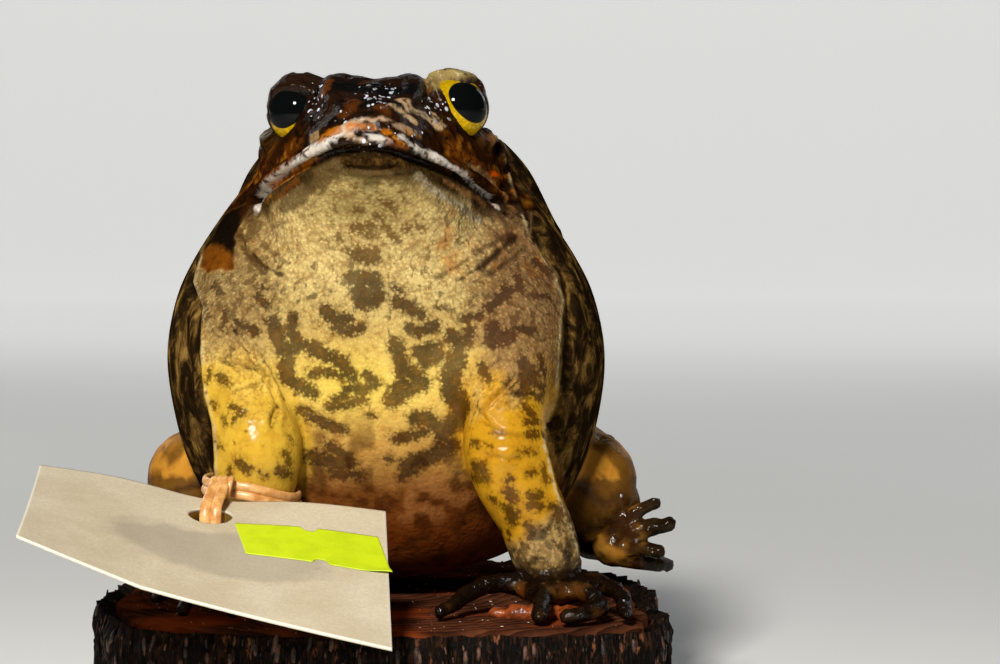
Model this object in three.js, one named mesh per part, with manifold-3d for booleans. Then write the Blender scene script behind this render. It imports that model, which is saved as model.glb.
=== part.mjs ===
// A stuffed cane toad on a slice of log, with a swing tag tied to its right forearm.
// Millimetres, +Z up. The toad faces -Y and its left side is +X.
// The origin is the middle of the log's flat underside.

import * as THREE from 'three';
import { mergeVertices } from 'three/addons/utils/BufferGeometryUtils.js';
import Module from 'manifold-3d';

const wasm = await Module();
wasm.setup();

// Gap kept between neighbouring pieces.
const gap = 0.3;

// The log slice: rim radius in the directions listed, in degrees from +X.
const log = {
  thickness: 20,
  barkThickness: 3.4,
  barkPieces: 8,
  barkColumns: 6,
  barkStart: 0.13,
  rim: [
    [0, 41], [30, 42], [60, 43.5], [90, 44.5], [120, 43.5], [150, 42], [180, 41.5], [200, 43.5],
    [232, 48.5], [262, 44.8], [288, 44.5], [308, 50], [320, 54], [332, 48.5], [346, 42.5],
  ],
};

// Trunk, cut level: height above the log, half width, front and back.
const trunk = [
  [2.6, 11, -3, 27],
  [5.5, 19.5, -10, 35],
  [11, 26, -14.5, 40.5],
  [19, 30.4, -17.5, 43.5],
  [28, 32.7, -19, 43],
  [36, 33.2, -19.3, 40],
  [44, 31.6, -18, 36.2],
  [50, 28.8, -15.5, 32.4],
  [56, 24.8, -12, 28.2],
  [61.5, 20.6, -7.5, 23.6],
  [66, 16.6, -2.5, 18.8],
  [69, 11.5, 2, 14.5],
];
const trunkRoundness = 2.25;

// Head, cut square to the line of the mouth: distance ahead of the mouth's corners,
// half width at the mouth, height above it and depth of throat below it.
const head = {
  corner: new THREE.Vector3(-0.3, 2, 56.8),
  pitch: 20.6,
  roundness: 2.4,
  sections: [
    [-12, 15, 11, 13],
    [-7, 18.2, 14, 17],
    [-2, 19.5, 15.8, 18],
    [3, 19, 16.7, 18],
    [8, 17.4, 17, 18],
    [12, 15.7, 16.8, 16.5],
    [15, 14.1, 15.9, 12.6],
    [18, 12.2, 14, 9],
    [21, 10, 11.8, 6.2],
    [24, 7.6, 9.5, 4.3],
    [26.4, 5.2, 7.3, 2.7],
    [27.8, 3, 5, 1.5],
  ],
  jawInset: 0.95,
  mouthGap: 0.35,
  neckHalf: 20.6,
};
const eye = { ahead: 12, left: 11.9, right: 11.1, up: 11.9, radius: 4.7, orbit: 5.5, lid: 0.8, opening: 4.3 };
const eyeGaze = new THREE.Vector3(0.74, -0.64, 0.2).normalize();
const nostril = { ahead: 26.6, aside: 2.3, up: 6.4, radius: 0.6 };
const tympanum = { ahead: 2.6, aside: 17.9, up: 7.6, radius: 2.7, thickness: 1.2 };

// Where the neck and the waist are parted, as lines seen from the side: [y, height].
const neckLine = [[-60, 45], [-14, 45.5], [-2, 49], [7, 55], [11.5, 62], [12.5, 70], [12.5, 95]];
const waistLine = [[-60, -14], [-20, 10.5], [18, 32], [41, 45.5], [70, 62]];

// Limbs: points [x, y, height, radius] of the toad's left side; its right side has its own x.
const upperArm = [[18.8, -1, 44, 8.4], [18.4, -6.4, 40.5, 9.3], [18.4, -10.8, 35.5, 8.7], [19.3, -14.6, 30, 6.8]];
const forearm = {
  left: [[19.8, -15.5, 31.5, 5.4], [19.6, -18.5, 24.5, 6.1], [20.8, -19.4, 19.5, 5.8], [23.6, -19.2, 14, 5.3],
    [25.4, -19, 9, 5.2], [26.4, -19.2, 5.2, 4.4]],
  right: [[19, -15.5, 31.5, 5.6], [16.2, -18.8, 24, 6.4], [16.6, -19.4, 19, 6.1], [18.4, -19.2, 14, 5.5],
    [20, -19, 9, 5.2], [20.8, -19.2, 5.2, 4.4]],
};
const palm = { ahead: -21, up: 3.9, length: 4.6, width: 4.9, thickness: 1.9 };
const fingers = {
  left: [
    [[23.4, -20, 4.2, 1.6], [19.6, -21.6, 5, 1.25], [15.4, -24.2, 3.8, 1.1], [11.6, -27.2, 1.4, 0.95]],
    [[25.4, -22, 4, 1.6], [25.6, -26, 3.7, 1.25], [25.3, -29.6, 2.4, 1.25], [25.1, -31.4, 1.5, 1.05]],
    [[28.6, -22, 4, 1.6], [31.4, -25.6, 3.9, 1.15], [33.4, -28.6, 2.5, 1.1], [30.6, -31, 1.6, 1],
      [28.8, -31.2, 1.4, 0.9]],
    [[29.6, -20.4, 4.3, 1.5], [33.2, -22.8, 5, 1.15], [36, -26.8, 4, 1.05], [37.1, -31, 1.5, 0.9]],
  ],
  right: [
    [[17.8, -20, 4.2, 1.5], [14, -21.6, 4.4, 1.15], [10.6, -23.6, 3, 1], [7.4, -25.6, 1.4, 0.85]],
    [[20, -22, 4, 1.6], [19.4, -26, 3.7, 1.25], [18.8, -29.6, 2.4, 1.2], [18.4, -31.6, 1.4, 1]],
    [[22.6, -22, 4, 1.6], [24, -25.8, 3.8, 1.2], [25, -29, 2.6, 1.1], [25.4, -31.4, 1.4, 0.95]],
    [[24, -20, 4.2, 1.5], [26.6, -20.6, 4.4, 1.15], [29, -20, 3.2, 1.05], [31, -18.6, 1.4, 0.9]],
  ],
};
const thigh = [[11, 32, 15.5, 10.4], [19.5, 27.4, 16.4, 10.4], [26.2, 21.6, 16, 9], [30.2, 18, 15, 7.9]];
const shank = [[31.2, 17, 12.6, 6.8], [32.6, 20.5, 9.6, 6.4], [32, 28, 7.2, 5.2], [30, 35.5, 5.4, 4.1]];
const tarsus = [[30.4, 35.5, 3.4, 2.9], [35, 30, 3.5, 2.9], [36.4, 21.6, 4.3, 3], [34.4, 14.4, 5.2, 3.1]];
const toes = [
  [[34, 14, 6.6, 1.6], [37.4, 12.6, 10.4, 1.1], [41, 13, 12.1, 0.95]],
  [[34.6, 13.4, 5.6, 1.7], [38.6, 12, 8, 1.45], [43, 11.6, 9, 1.3]],
  [[34.6, 13.2, 4.6, 1.7], [38.4, 11.2, 5.4, 1.35], [41.6, 9.6, 5.1, 1.1]],
  [[35, 14, 4, 1.8], [38.6, 13.4, 3.2, 1.5], [41.2, 15.4, 2.5, 1.3], [42.8, 19, 1.8, 1.05]],
  [[35.4, 16.4, 3.6, 1.7], [38.6, 19.4, 2.6, 1.3], [40.4, 24, 1.8, 1.1]],
];
const webReach = 0.55;
const webThickness = 0.7;

// Skin glands: the long one behind each eye and the warts of the back.
// The gland's rows are its place from seat to nape, its turn from the toad's side towards its back,
// and its radius; most of it is sunk in the trunk.
const parotoid = [[0.94, 30, 4.2], [0.86, 32, 6.4], [0.76, 31, 7.2], [0.66, 29, 5]];
const parotoidSunk = 0.66;
const warts = { rows: 6, smallest: 1.2, largest: 2.2, seed: 7 };

// Card tag: corners, [x, y, height], and the things on it.
const tag = {
  topLeft: [-46.6, -26, 21.1], topRight: [3.2, -29, 15.1], lowLeft: [-42.3, -65, 13.9], lowRight: [7.4, -68, 1.7],
  cornerLift: 1.9,
  sagAtHole: 1.7,
  sagBelow: 0.6,
  thickness: 0.6,
  holeAcross: 0.5, holeDown: 0.167, holeRadius: 3.1,
};
const sticker = { left: 0.57, right: 0.975, top: 0.22, bottom: 0.49, skew: 0.035, thickness: 0.5 };
const bandRadius = 0.85;

const logTop = log.thickness;
const aboveLog = ([x, y, height]) => new THREE.Vector3(x, y, height + logTop);

// Catmull-Rom value of a table of rows at t, from 0 at its first row to 1 at its last.
function rowAt(rows, t) {
  const place = t * (rows.length - 1);
  const first = Math.min(Math.floor(place), rows.length - 2);
  const f = place - first;
  const pick = (i) => rows[Math.max(0, Math.min(rows.length - 1, i))];
  const [a, b, c, d] = [pick(first - 1), pick(first), pick(first + 1), pick(first + 2)];
  return b.map((_, k) => {
    const slopeB = (c[k] - a[k]) / 2;
    const slopeC = (d[k] - b[k]) / 2;
    const f2 = f * f;
    const f3 = f2 * f;
    return (2 * f3 - 3 * f2 + 1) * b[k] + (f3 - 2 * f2 + f) * slopeB
      + (3 * f2 - 2 * f3) * c[k] + (f3 - f2) * slopeC;
  });
}

// Numbers from 0 to 1, the same ones on every run.
function drawFrom(seed) {
  let state = seed;
  return () => {
    state = (state * 16807) % 2147483647;
    return state / 2147483647;
  };
}

const signedPower = (value, power) => Math.sign(value) * Math.abs(value) ** power;

// A closed skin over rings of equally many points, drawn in to a point at each end.
function closedLoft(rings, start, end) {
  const sides = rings[0].length;
  const points = [start, ...rings.flat(), end];
  const last = points.length - 1;
  const at = (ring, side) => 1 + ring * sides + (side % sides);
  const faces = [];
  for (let side = 0; side < sides; side += 1) {
    faces.push(0, at(0, side + 1), at(0, side));
    faces.push(last, at(rings.length - 1, side), at(rings.length - 1, side + 1));
    for (let ring = 0; ring + 1 < rings.length; ring += 1) {
      faces.push(at(ring, side), at(ring, side + 1), at(ring + 1, side));
      faces.push(at(ring, side + 1), at(ring + 1, side + 1), at(ring + 1, side));
    }
  }
  const geometry = new THREE.BufferGeometry();
  geometry.setAttribute('position', new THREE.Float32BufferAttribute(points.flatMap((p) => p.toArray()), 3));
  geometry.setIndex(faces);
  return geometry;
}

// A closed plate between two grids of points, top and bottom.
function plate(top, bottom) {
  const rows = top.length;
  const columns = top[0].length;
  const points = [...top.flat(), ...bottom.flat()];
  const up = (r, c) => r * columns + c;
  const down = (r, c) => rows * columns + up(r, c);
  const faces = [];
  const quad = (a, b, c, d) => faces.push(a, b, c, a, c, d);
  for (let r = 0; r + 1 < rows; r += 1) {
    for (let c = 0; c + 1 < columns; c += 1) {
      quad(up(r, c), up(r + 1, c), up(r + 1, c + 1), up(r, c + 1));
      quad(down(r, c), down(r, c + 1), down(r + 1, c + 1), down(r + 1, c));
    }
    quad(up(r, 0), down(r, 0), down(r + 1, 0), up(r + 1, 0));
    quad(up(r, columns - 1), up(r + 1, columns - 1), down(r + 1, columns - 1), down(r, columns - 1));
  }
  for (let c = 0; c + 1 < columns; c += 1) {
    quad(up(0, c), up(0, c + 1), down(0, c + 1), down(0, c));
    quad(up(rows - 1, c), down(rows - 1, c), down(rows - 1, c + 1), up(rows - 1, c + 1));
  }
  const geometry = new THREE.BufferGeometry();
  geometry.setAttribute('position', new THREE.Float32BufferAttribute(points.flatMap((p) => p.toArray()), 3));
  geometry.setIndex(faces);
  return geometry;
}

// A solid for joining and cutting, from a closed geometry; turned the right way out if it isn't.
function solid(geometry) {
  const bare = geometry.clone();
  bare.deleteAttribute('normal');
  bare.deleteAttribute('uv');
  const merged = mergeVertices(bare, 1e-4);
  const vertProperties = new Float32Array(merged.attributes.position.array);
  const triVerts = new Uint32Array(merged.index.array);
  const body = new wasm.Manifold(new wasm.Mesh({ numProp: 3, vertProperties, triVerts }));
  if (body.volume() > 0) return body;
  for (let i = 0; i < triVerts.length; i += 3) {
    [triVerts[i], triVerts[i + 1]] = [triVerts[i + 1], triVerts[i]];
  }
  return new wasm.Manifold(new wasm.Mesh({ numProp: 3, vertProperties, triVerts }));
}

const join = (solids) => solids.reduce((sum, next) => sum.add(next));

// The largest closed surface of a solid, as a geometry.
function largest(body) {
  const parts = body.decompose().sort((a, b) => b.volume() - a.volume());
  const mesh = parts[0].getMesh();
  const positions = new Float32Array(mesh.numVert * 3);
  for (let i = 0; i < mesh.numVert; i += 1) {
    for (let k = 0; k < 3; k += 1) positions[3 * i + k] = mesh.vertProperties[i * mesh.numProp + k];
  }
  const geometry = new THREE.BufferGeometry();
  geometry.setAttribute('position', new THREE.BufferAttribute(positions, 3));
  geometry.setIndex(Array.from(mesh.triVerts));
  return geometry;
}

// A round-ended limb along points [x, y, height, radius]; grow makes it fatter all over.
function limb(rows, { sides = 12, steps = 8, grow = 0, flip = 1 } = {}) {
  const bones = rows.map(([x, y, z, r]) => [x * flip, y, z + logTop, r + grow]);
  const place = (t) => new THREE.Vector3(...rowAt(bones, t));
  const rings = [];
  const ends = [];
  const heading = (t) => place(Math.min(1, t + 0.01)).sub(place(Math.max(0, t - 0.01))).normalize();
  let side = new THREE.Vector3(0, 0, 1).cross(heading(0));
  if (side.length() < 0.2) side = new THREE.Vector3(1, 0, 0);
  const ring = (centre, along, radius) => {
    side.addScaledVector(along, -side.dot(along)).normalize();
    const other = new THREE.Vector3().crossVectors(along, side);
    rings.push(Array.from({ length: sides }, (_, k) => {
      const turn = (2 * Math.PI * k) / sides;
      return centre.clone().addScaledVector(side, radius * Math.cos(turn))
        .addScaledVector(other, radius * Math.sin(turn));
    }));
  };
  const capTurns = sides > 8 ? [Math.PI / 6, Math.PI / 3] : [Math.PI / 4];
  const cap = (t, sign) => {
    const along = heading(t);
    const radius = rowAt(bones, t)[3];
    for (const lean of sign < 0 ? capTurns : capTurns.toReversed()) {
      ring(place(t).addScaledVector(along, sign * radius * Math.cos(lean)), along, radius * Math.sin(lean));
    }
    ends.push(place(t).addScaledVector(along, sign * radius));
  };
  cap(0, -1);
  for (let i = 0; i <= steps; i += 1) ring(place(i / steps), heading(i / steps), rowAt(bones, i / steps)[3]);
  cap(1, 1);
  return solid(closedLoft(rings, ends[0], ends[1]));
}

// An egg of three half sizes, with its first axis laid along a direction.
function egg(centre, sizes, lie = new THREE.Vector3(1, 0, 0), detail = [12, 8]) {
  const geometry = new THREE.SphereGeometry(1, detail[0], detail[1]);
  geometry.scale(...sizes);
  const turn = new THREE.Quaternion().setFromUnitVectors(new THREE.Vector3(1, 0, 0), lie.clone().normalize());
  geometry.applyQuaternion(turn);
  geometry.translate(centre.x, centre.y, centre.z);
  return solid(geometry);
}

// Head directions: ahead along the mouth, and up square to it.
const pitch = THREE.MathUtils.degToRad(head.pitch);
const ahead = new THREE.Vector3(0, -Math.cos(pitch), Math.sin(pitch));
const upward = new THREE.Vector3(0, Math.sin(pitch), Math.cos(pitch));
const mouthCorner = head.corner.clone().add(new THREE.Vector3(0, 0, logTop));
const inHead = (a, b, c) => mouthCorner.clone().addScaledVector(ahead, a).addScaledVector(upward, c)
  .add(new THREE.Vector3(b, 0, 0));
const mirrored = (v, flip) => new THREE.Vector3(v.x * flip, v.y, v.z);

// Point of the trunk's skin: t from the seat to the nape, turn round it from +X.
function onTrunk(t, turn, grow = 0) {
  const [z, half, front, back] = rowAt(trunk, t);
  const power = 2 / trunkRoundness;
  return new THREE.Vector3(
    (half + grow) * signedPower(Math.cos(turn), power),
    (front + back) / 2 + ((back - front) / 2 + grow) * signedPower(Math.sin(turn), power),
    z + logTop,
  );
}

function trunkSolid(grow = 0) {
  const sides = 30;
  const steps = 16;
  const rings = Array.from({ length: steps + 1 }, (_, i) => Array.from({ length: sides },
    (__, k) => onTrunk(i / steps, (2 * Math.PI * k) / sides, grow)));
  const first = trunk[0];
  const last = trunk[trunk.length - 1];
  const seat = new THREE.Vector3(0, (first[2] + first[3]) / 2, first[0] - 0.7 - grow + logTop);
  const nape = new THREE.Vector3(0, (last[2] + last[3]) / 2, last[0] + 1.4 + grow + logTop);
  return solid(closedLoft(rings, seat, nape));
}

function headSolid(inset = 1) {
  const sides = 26;
  const steps = 17;
  const power = 2 / head.roundness;
  const rings = Array.from({ length: steps + 1 }, (_, i) => {
    const [a, half, height, depth] = rowAt(head.sections, i / steps);
    return Array.from({ length: sides }, (__, k) => {
      const turn = (2 * Math.PI * k) / sides;
      const rise = Math.sin(turn) > 0 ? height : depth;
      return inHead(a, inset * half * signedPower(Math.cos(turn), power), rise * signedPower(Math.sin(turn), power));
    });
  });
  return solid(closedLoft(rings, inHead(-13.5, 0, 0), inHead(28.3, 0, 1.6)));
}

const eyeCentre = (flip) => {
  const centre = inHead(eye.ahead, 0, eye.up);
  centre.x = head.corner.x + (flip > 0 ? eye.left : -eye.right);
  return centre;
};

// Turn that lays a shape's own Y axis along a direction.
const layAlong = (direction) => new THREE.Quaternion().setFromUnitVectors(new THREE.Vector3(0, 1, 0), direction);

function ringAt(centre, direction, radius, tube, detail = [5, 16]) {
  const geometry = new THREE.TorusGeometry(radius, tube, detail[0], detail[1]);
  geometry.rotateX(Math.PI / 2);
  geometry.applyQuaternion(layAlong(direction));
  geometry.translate(centre.x, centre.y, centre.z);
  return solid(geometry);
}

function rodAt(from, direction, radius, length, sides = 16) {
  const geometry = new THREE.CylinderGeometry(radius, radius, length, sides);
  geometry.translate(0, length / 2, 0);
  geometry.applyQuaternion(layAlong(direction));
  geometry.translate(from.x, from.y, from.z);
  return solid(geometry);
}

// A ridge that follows points [ahead, aside, up] of the head.
function headRidge(points, radius, flip, steps = 8) {
  const rows = points.map(([a, b, c]) => {
    const p = inHead(a, flip * b, c);
    return [p.x * flip, p.y, p.z - logTop, radius];
  });
  return limb(rows, { sides: 5, steps, flip });
}

// The upper lip, just above the mouth and a little inside its edge.
const lipPoints = () => head.sections.slice(2).map(([a, half]) => [a, half - 0.35, 1.2]);

// The whole head above and below the mouth, with the ridges, lids, lips, nostrils and eardrums.
function skull() {
  let body = headSolid();
  for (const flip of [1, -1]) {
    const gaze = mirrored(eyeGaze, flip);
    const centre = eyeCentre(flip);
    body = join([
      body,
      egg(centre, [eye.orbit, eye.orbit, eye.orbit], upward, [14, 10]),
      ringAt(centre.clone().addScaledVector(gaze, 1.7), gaze, eye.opening + 0.75, eye.lid),
      headRidge([[25.6, 3.2, 6.6], [21, 5.8, 10.4], [16.6, 6.4, 14.4], [12, 6.2, 16.8], [6, 8, 16.5],
        [2, 11.8, 14.2], [0.6, 15.4, 10.6]], 1.25, flip, 9),
      headRidge([[12.6, 14.9, 6.8], [7.4, 16, 8.4], [3.4, 15.8, 11.4]], 1.2, flip, 4),
      headRidge(lipPoints(), 1, flip, 9),
      egg(inHead(tympanum.ahead, flip * tympanum.aside, tympanum.up),
        [tympanum.radius, tympanum.thickness, tympanum.radius], ahead, [10, 5]),
      egg(inHead(nostril.ahead - 0.5, flip * nostril.aside, nostril.up - 0.4), [1.6, 1.3, 1.3], ahead, [7, 5]),
    ]);
  }
  for (const flip of [1, -1]) {
    const gaze = mirrored(eyeGaze, flip);
    const centre = eyeCentre(flip);
    const nose = inHead(nostril.ahead, flip * nostril.aside, nostril.up);
    body = body
      .subtract(egg(centre, [eye.radius + gap, eye.radius + gap, eye.radius + gap], gaze, [14, 10]))
      .subtract(rodAt(centre.clone().addScaledVector(gaze, 1.6), gaze, eye.opening, 8))
      .subtract(rodAt(nose, new THREE.Vector3(flip * 0.5, -0.8, 0.35).normalize(), nostril.radius, 3, 8));
  }
  return body;
}

// Everything on one side of a line seen from the side, moved along by an offset.
function sideCut(line, offset, closing) {
  const shape = new THREE.Shape();
  const curve = new THREE.SplineCurve(line.map(([y, z]) => new THREE.Vector2(y, z)));
  const points = curve.getPoints(14);
  const moved = points.map((p, i) => {
    const way = points[Math.min(i + 1, points.length - 1)].clone().sub(points[Math.max(i - 1, 0)]).normalize();
    return new THREE.Vector2(p.x - way.y * offset, p.y + way.x * offset);
  });
  shape.setFromPoints([...moved, ...closing.map(([y, z]) => new THREE.Vector2(y, z))]);
  const geometry = new THREE.ExtrudeGeometry(shape, { depth: 160, bevelEnabled: false });
  geometry.translate(0, 0, -80);
  geometry.rotateY(Math.PI / 2);
  geometry.rotateX(Math.PI / 2);
  geometry.translate(0, 0, logTop);
  return solid(geometry);
}

// Slab that parts the mouth, or all that lies above or below it.
function mouthHalf(above) {
  const size = 200;
  const geometry = new THREE.BoxGeometry(size, size, size);
  const away = (above ? 1 : -1) * (size / 2 + head.mouthGap / 2);
  geometry.translate(0, 0, away);
  geometry.rotateX(-pitch);
  geometry.translate(mouthCorner.x, mouthCorner.y, mouthCorner.z);
  return solid(geometry);
}

// Block between the shoulders, which keeps the neck's cut off them.
function neckBlock(grow) {
  const half = head.neckHalf + grow;
  const geometry = new THREE.BoxGeometry(2 * half, 200, 200);
  geometry.translate(head.corner.x, 0, logTop);
  return solid(geometry);
}

function parotoidSolid(flip) {
  const rows = parotoid.map(([t, degrees, radius]) => {
    const p = onTrunk(t, THREE.MathUtils.degToRad(degrees), -parotoidSunk * radius);
    return [p.x, p.y, p.z - logTop, radius];
  });
  return limb(rows, { sides: 10, steps: 6, flip });
}

// Warts in rows over the back and flanks, largest along the middle.
function wartSolids(grow = 0) {
  const random = drawFrom(warts.seed);
  const found = [];
  for (let row = 0; row < warts.rows; row += 1) {
    const t = 0.3 + (0.62 * row) / (warts.rows - 1);
    const count = 5 - Math.round(3 * Math.abs(t - 0.45));
    for (let k = 0; k < count; k += 1) {
      const turn = (0.1 + (0.8 * (k + 0.5 * (row % 2) + 0.4 * random())) / count) * Math.PI;
      const size = warts.smallest + (warts.largest - warts.smallest) * random() + grow;
      const place = onTrunk(Math.min(0.95, t + 0.03 * random()), turn);
      found.push(egg(place, [size, size, size * 0.62], new THREE.Vector3(1, 0, 0), [6, 4]));
    }
  }
  return found;
}

const shades = {
  back: 0x4a4630, belly: 0xcaa866, crown: 0x2c1a10, limb: 0xc8952e, hand: 0x2e1c10, hind: 0x8a5a22,
  eye: 0x0a0806, wood: 0x5a2a1c, bark: 0x35241a, card: 0xd8cdb8, label: 0xd6f01c, rubber: 0xc8955c, putty: 0xd8754a,
};

const toad = new THREE.Group();

function add(name, body, colour, roughness = 0.4) {
  const geometry = body.isBufferGeometry ? body : largest(body);
  const material = new THREE.MeshStandardMaterial({ color: colour, roughness, metalness: 0 });
  const mesh = new THREE.Mesh(geometry, material);
  mesh.name = name;
  toad.add(mesh);
}

// Log slice

function rimAt(turn, inset = 0) {
  const degrees = ((THREE.MathUtils.radToDeg(turn) % 360) + 360) % 360;
  const rows = log.rim;
  let i = rows.findIndex(([angle]) => angle > degrees);
  if (i < 0) i = rows.length;
  const from = rows[i - 1];
  const to = rows[i % rows.length];
  const span = ((to[0] - from[0]) + 360) % 360;
  const f = (degrees - from[0]) / span;
  const eased = f * f * (3 - 2 * f);
  return from[1] + (to[1] - from[1]) * eased - inset;
}

function buildLog() {
  const wood = new THREE.Shape();
  const inset = log.barkThickness + gap;
  const around = log.barkPieces * log.barkColumns;
  const points = Array.from({ length: around }, (_, k) => {
    const turn = (2 * Math.PI * (k / log.barkColumns + log.barkStart)) / log.barkPieces;
    return new THREE.Vector2(rimAt(turn, inset) * Math.cos(turn), rimAt(turn, inset) * Math.sin(turn));
  });
  wood.setFromPoints(points);
  const slab = new THREE.ExtrudeGeometry(wood, { depth: log.thickness - 0.8, bevelEnabled: false });
  const top = new THREE.ExtrudeGeometry(wood, { depth: 0.8, bevelEnabled: false });
  top.scale(0.985, 0.985, 1);
  top.translate(0, 0, log.thickness - 0.8);
  add('log_wood', solid(slab).add(solid(top)), shades.wood, 0.25);

  // Bark in upright plates, furrowed down their length.
  const random = drawFrom(23);
  const columns = log.barkColumns + 1;
  const halfGap = gap / 2 / log.rim[0][1];
  for (let piece = 0; piece < log.barkPieces; piece += 1) {
    const start = (2 * Math.PI * (piece + log.barkStart)) / log.barkPieces + halfGap;
    const end = (2 * Math.PI * (piece + 1 + log.barkStart)) / log.barkPieces - halfGap;
    const heights = [0.6, 6, 13, log.thickness - 0.4 + 0.5 * random()];
    const furrows = Array.from({ length: columns }, (_, c) => (c % 2 ? -0.9 : 0.5) * (0.5 + random()));
    const outer = heights.map((z) => Array.from({ length: columns }, (_, c) => {
      const turn = start + ((end - start) * c) / (columns - 1);
      const edge = c === 0 || c === columns - 1 ? -0.5 : furrows[c] + 0.3 * (random() - 0.5);
      const radius = rimAt(turn) + Math.min(edge, 0.7);
      return new THREE.Vector3(radius * Math.cos(turn), radius * Math.sin(turn), z);
    }));
    const inner = heights.map((z) => Array.from({ length: columns }, (_, c) => {
      const turn = start + ((end - start) * c) / (columns - 1);
      const radius = rimAt(turn, log.barkThickness - gap / 2);
      return new THREE.Vector3(radius * Math.cos(turn), radius * Math.sin(turn), z);
    }));
    add(`log_bark_${piece + 1}`, solid(plate(outer, inner)), shades.bark, 0.6);
  }
}

// Toad

function buildBody() {
  const trunkWhole = trunkSolid();
  const glands = [parotoidSolid(1), parotoidSolid(-1)];
  const whole = join([trunkWhole, skull(), ...glands, ...wartSolids()]);
  const jawWhole = join([trunkWhole, headSolid(head.jawInset)]);
  const closing = [[-60, 95]];
  const beforeNeck = sideCut(neckLine, gap / 2, closing).intersect(neckBlock(0));
  const beyondNeck = sideCut(neckLine, -gap / 2, closing).intersect(neckBlock(gap));
  const aboveWaist = sideCut(waistLine, gap / 2, [[70, 120], [-60, 120]]);
  const upToWaist = sideCut(waistLine, -gap / 2, [[70, 120], [-60, 120]]);

  add('head', whole.intersect(beforeNeck).intersect(mouthHalf(true)), shades.crown, 0.3);
  add('lower_jaw', jawWhole.intersect(beforeNeck).intersect(mouthHalf(false)), shades.belly, 0.35);
  const torso = join([trunkWhole, headSolid(head.jawInset), ...glands, ...wartSolids()]).subtract(beyondNeck);
  add('chest', torso.intersect(aboveWaist), shades.belly, 0.35);
  add('abdomen', torso.subtract(upToWaist), shades.back, 0.4);

  for (const [side, flip] of [['left', 1], ['right', -1]]) {
    add(`eye_${side}`, egg(eyeCentre(flip), [eye.radius, eye.radius, eye.radius], mirrored(eyeGaze, flip), [14, 10]),
      shades.eye, 0.05);
  }
  return join([trunkSolid(gap), ...glands, ...wartSolids(gap)]);
}

function web(from, to, flip) {
  const steps = 3;
  const lift = new THREE.Vector3(0, 0, webThickness / 2);
  const top = [];
  const bottom = [];
  for (let i = 0; i <= steps; i += 1) {
    const t = (webReach * i) / steps;
    const a = new THREE.Vector3(...rowAt(from, t).slice(0, 3));
    const b = new THREE.Vector3(...rowAt(to, t).slice(0, 3));
    const row = [0, 0.5, 1].map((f) => {
      const p = a.clone().lerp(b, f);
      p.z += logTop;
      if (f === 0.5) p.lerp(aboveLog(from[0]), 0.16 * (i / steps));
      p.x *= flip;
      return p;
    });
    top.push(row.map((p) => p.clone().add(lift)));
    bottom.push(row.map((p) => p.clone().sub(lift)));
  }
  return solid(plate(top, bottom));
}

function buildLimbs(trunkGrown) {
  const floor = new THREE.BoxGeometry(200, 200, 40);
  floor.translate(0, 0, logTop + gap - 20);
  const belowTop = solid(floor);
  const throatGrown = headSolid(1.02);
  for (const [side, flip] of [['left', 1], ['right', -1]]) {
    const arm = (grow) => limb(upperArm, { sides: 14, steps: 6, grow, flip });
    const fore = (grow) => limb(forearm[side], { sides: 14, steps: 8, grow, flip });
    add(`upper_arm_${side}`, arm(0).subtract(trunkGrown).subtract(throatGrown), shades.limb);
    add(`forearm_${side}`, fore(0).subtract(arm(gap)).subtract(trunkGrown), shades.limb);

    const wrist = forearm[side][forearm[side].length - 1];
    const palmAt = new THREE.Vector3(flip * (wrist[0] + 0.3), palm.ahead, palm.up + logTop);
    const hand = join([
      egg(palmAt, [palm.width, palm.length, palm.thickness], new THREE.Vector3(1, 0, 0), [14, 8]),
      ...fingers[side].map((rows) => limb(rows, { sides: 6, steps: 5, flip })),
    ]);
    add(`hand_${side}`, hand.subtract(fore(gap)).subtract(belowTop), shades.hand, 0.2);
    if (side === 'left') addPutty(hand, palmAt);

    const thighs = (grow) => limb(thigh, { sides: 14, steps: 6, grow, flip });
    const shanks = (grow) => limb(shank, { sides: 12, steps: 6, grow, flip });
    add(`thigh_${side}`, thighs(0).subtract(trunkGrown), shades.hind);
    add(`shank_${side}`, shanks(0).subtract(thighs(gap)).subtract(trunkGrown).subtract(belowTop), shades.hind);
    const foot = join([
      limb(tarsus, { sides: 9, steps: 6, flip }),
      ...toes.map((rows) => limb(rows, { sides: 6, steps: 5, flip })),
      ...toes.slice(1).map((rows, i) => web(toes[i], rows, flip)),
    ]);
    add(`foot_${side}`, foot.subtract(shanks(gap)).subtract(thighs(gap)).subtract(trunkGrown).subtract(belowTop),
      shades.hind, 0.3);
  }
}

// Putty pressed under the left palm, flat on the log.
function addPutty(hand, palmAt) {
  const lumps = [[-1.2, -3.2, 2.6, 2], [-4.6, -3, 2.4, 1.4], [-7.6, -2.4, 1.8, 1], [2.6, -4.4, 2.2, 1.5]];
  const base = logTop + gap;
  const blobs = lumps.map(([x, y, across, tall]) => egg(
    new THREE.Vector3(palmAt.x + x, palmAt.y + y, base + tall * 0.3),
    [across, across * 0.8, tall], new THREE.Vector3(1, 0, 0), [6, 5],
  ));
  const floor = new THREE.BoxGeometry(100, 100, 20);
  floor.translate(0, 0, base - 10);
  const grown = join([
    egg(palmAt, [palm.width + gap, palm.length + gap, palm.thickness + gap], new THREE.Vector3(1, 0, 0), [14, 8]),
    ...fingers.left.map((rows) => limb(rows, { sides: 6, steps: 5, grow: gap })),
  ]);
  add('putty_left', join(blobs).subtract(solid(floor)).subtract(grown).subtract(hand), shades.putty, 0.35);
}

// Card tag

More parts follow.
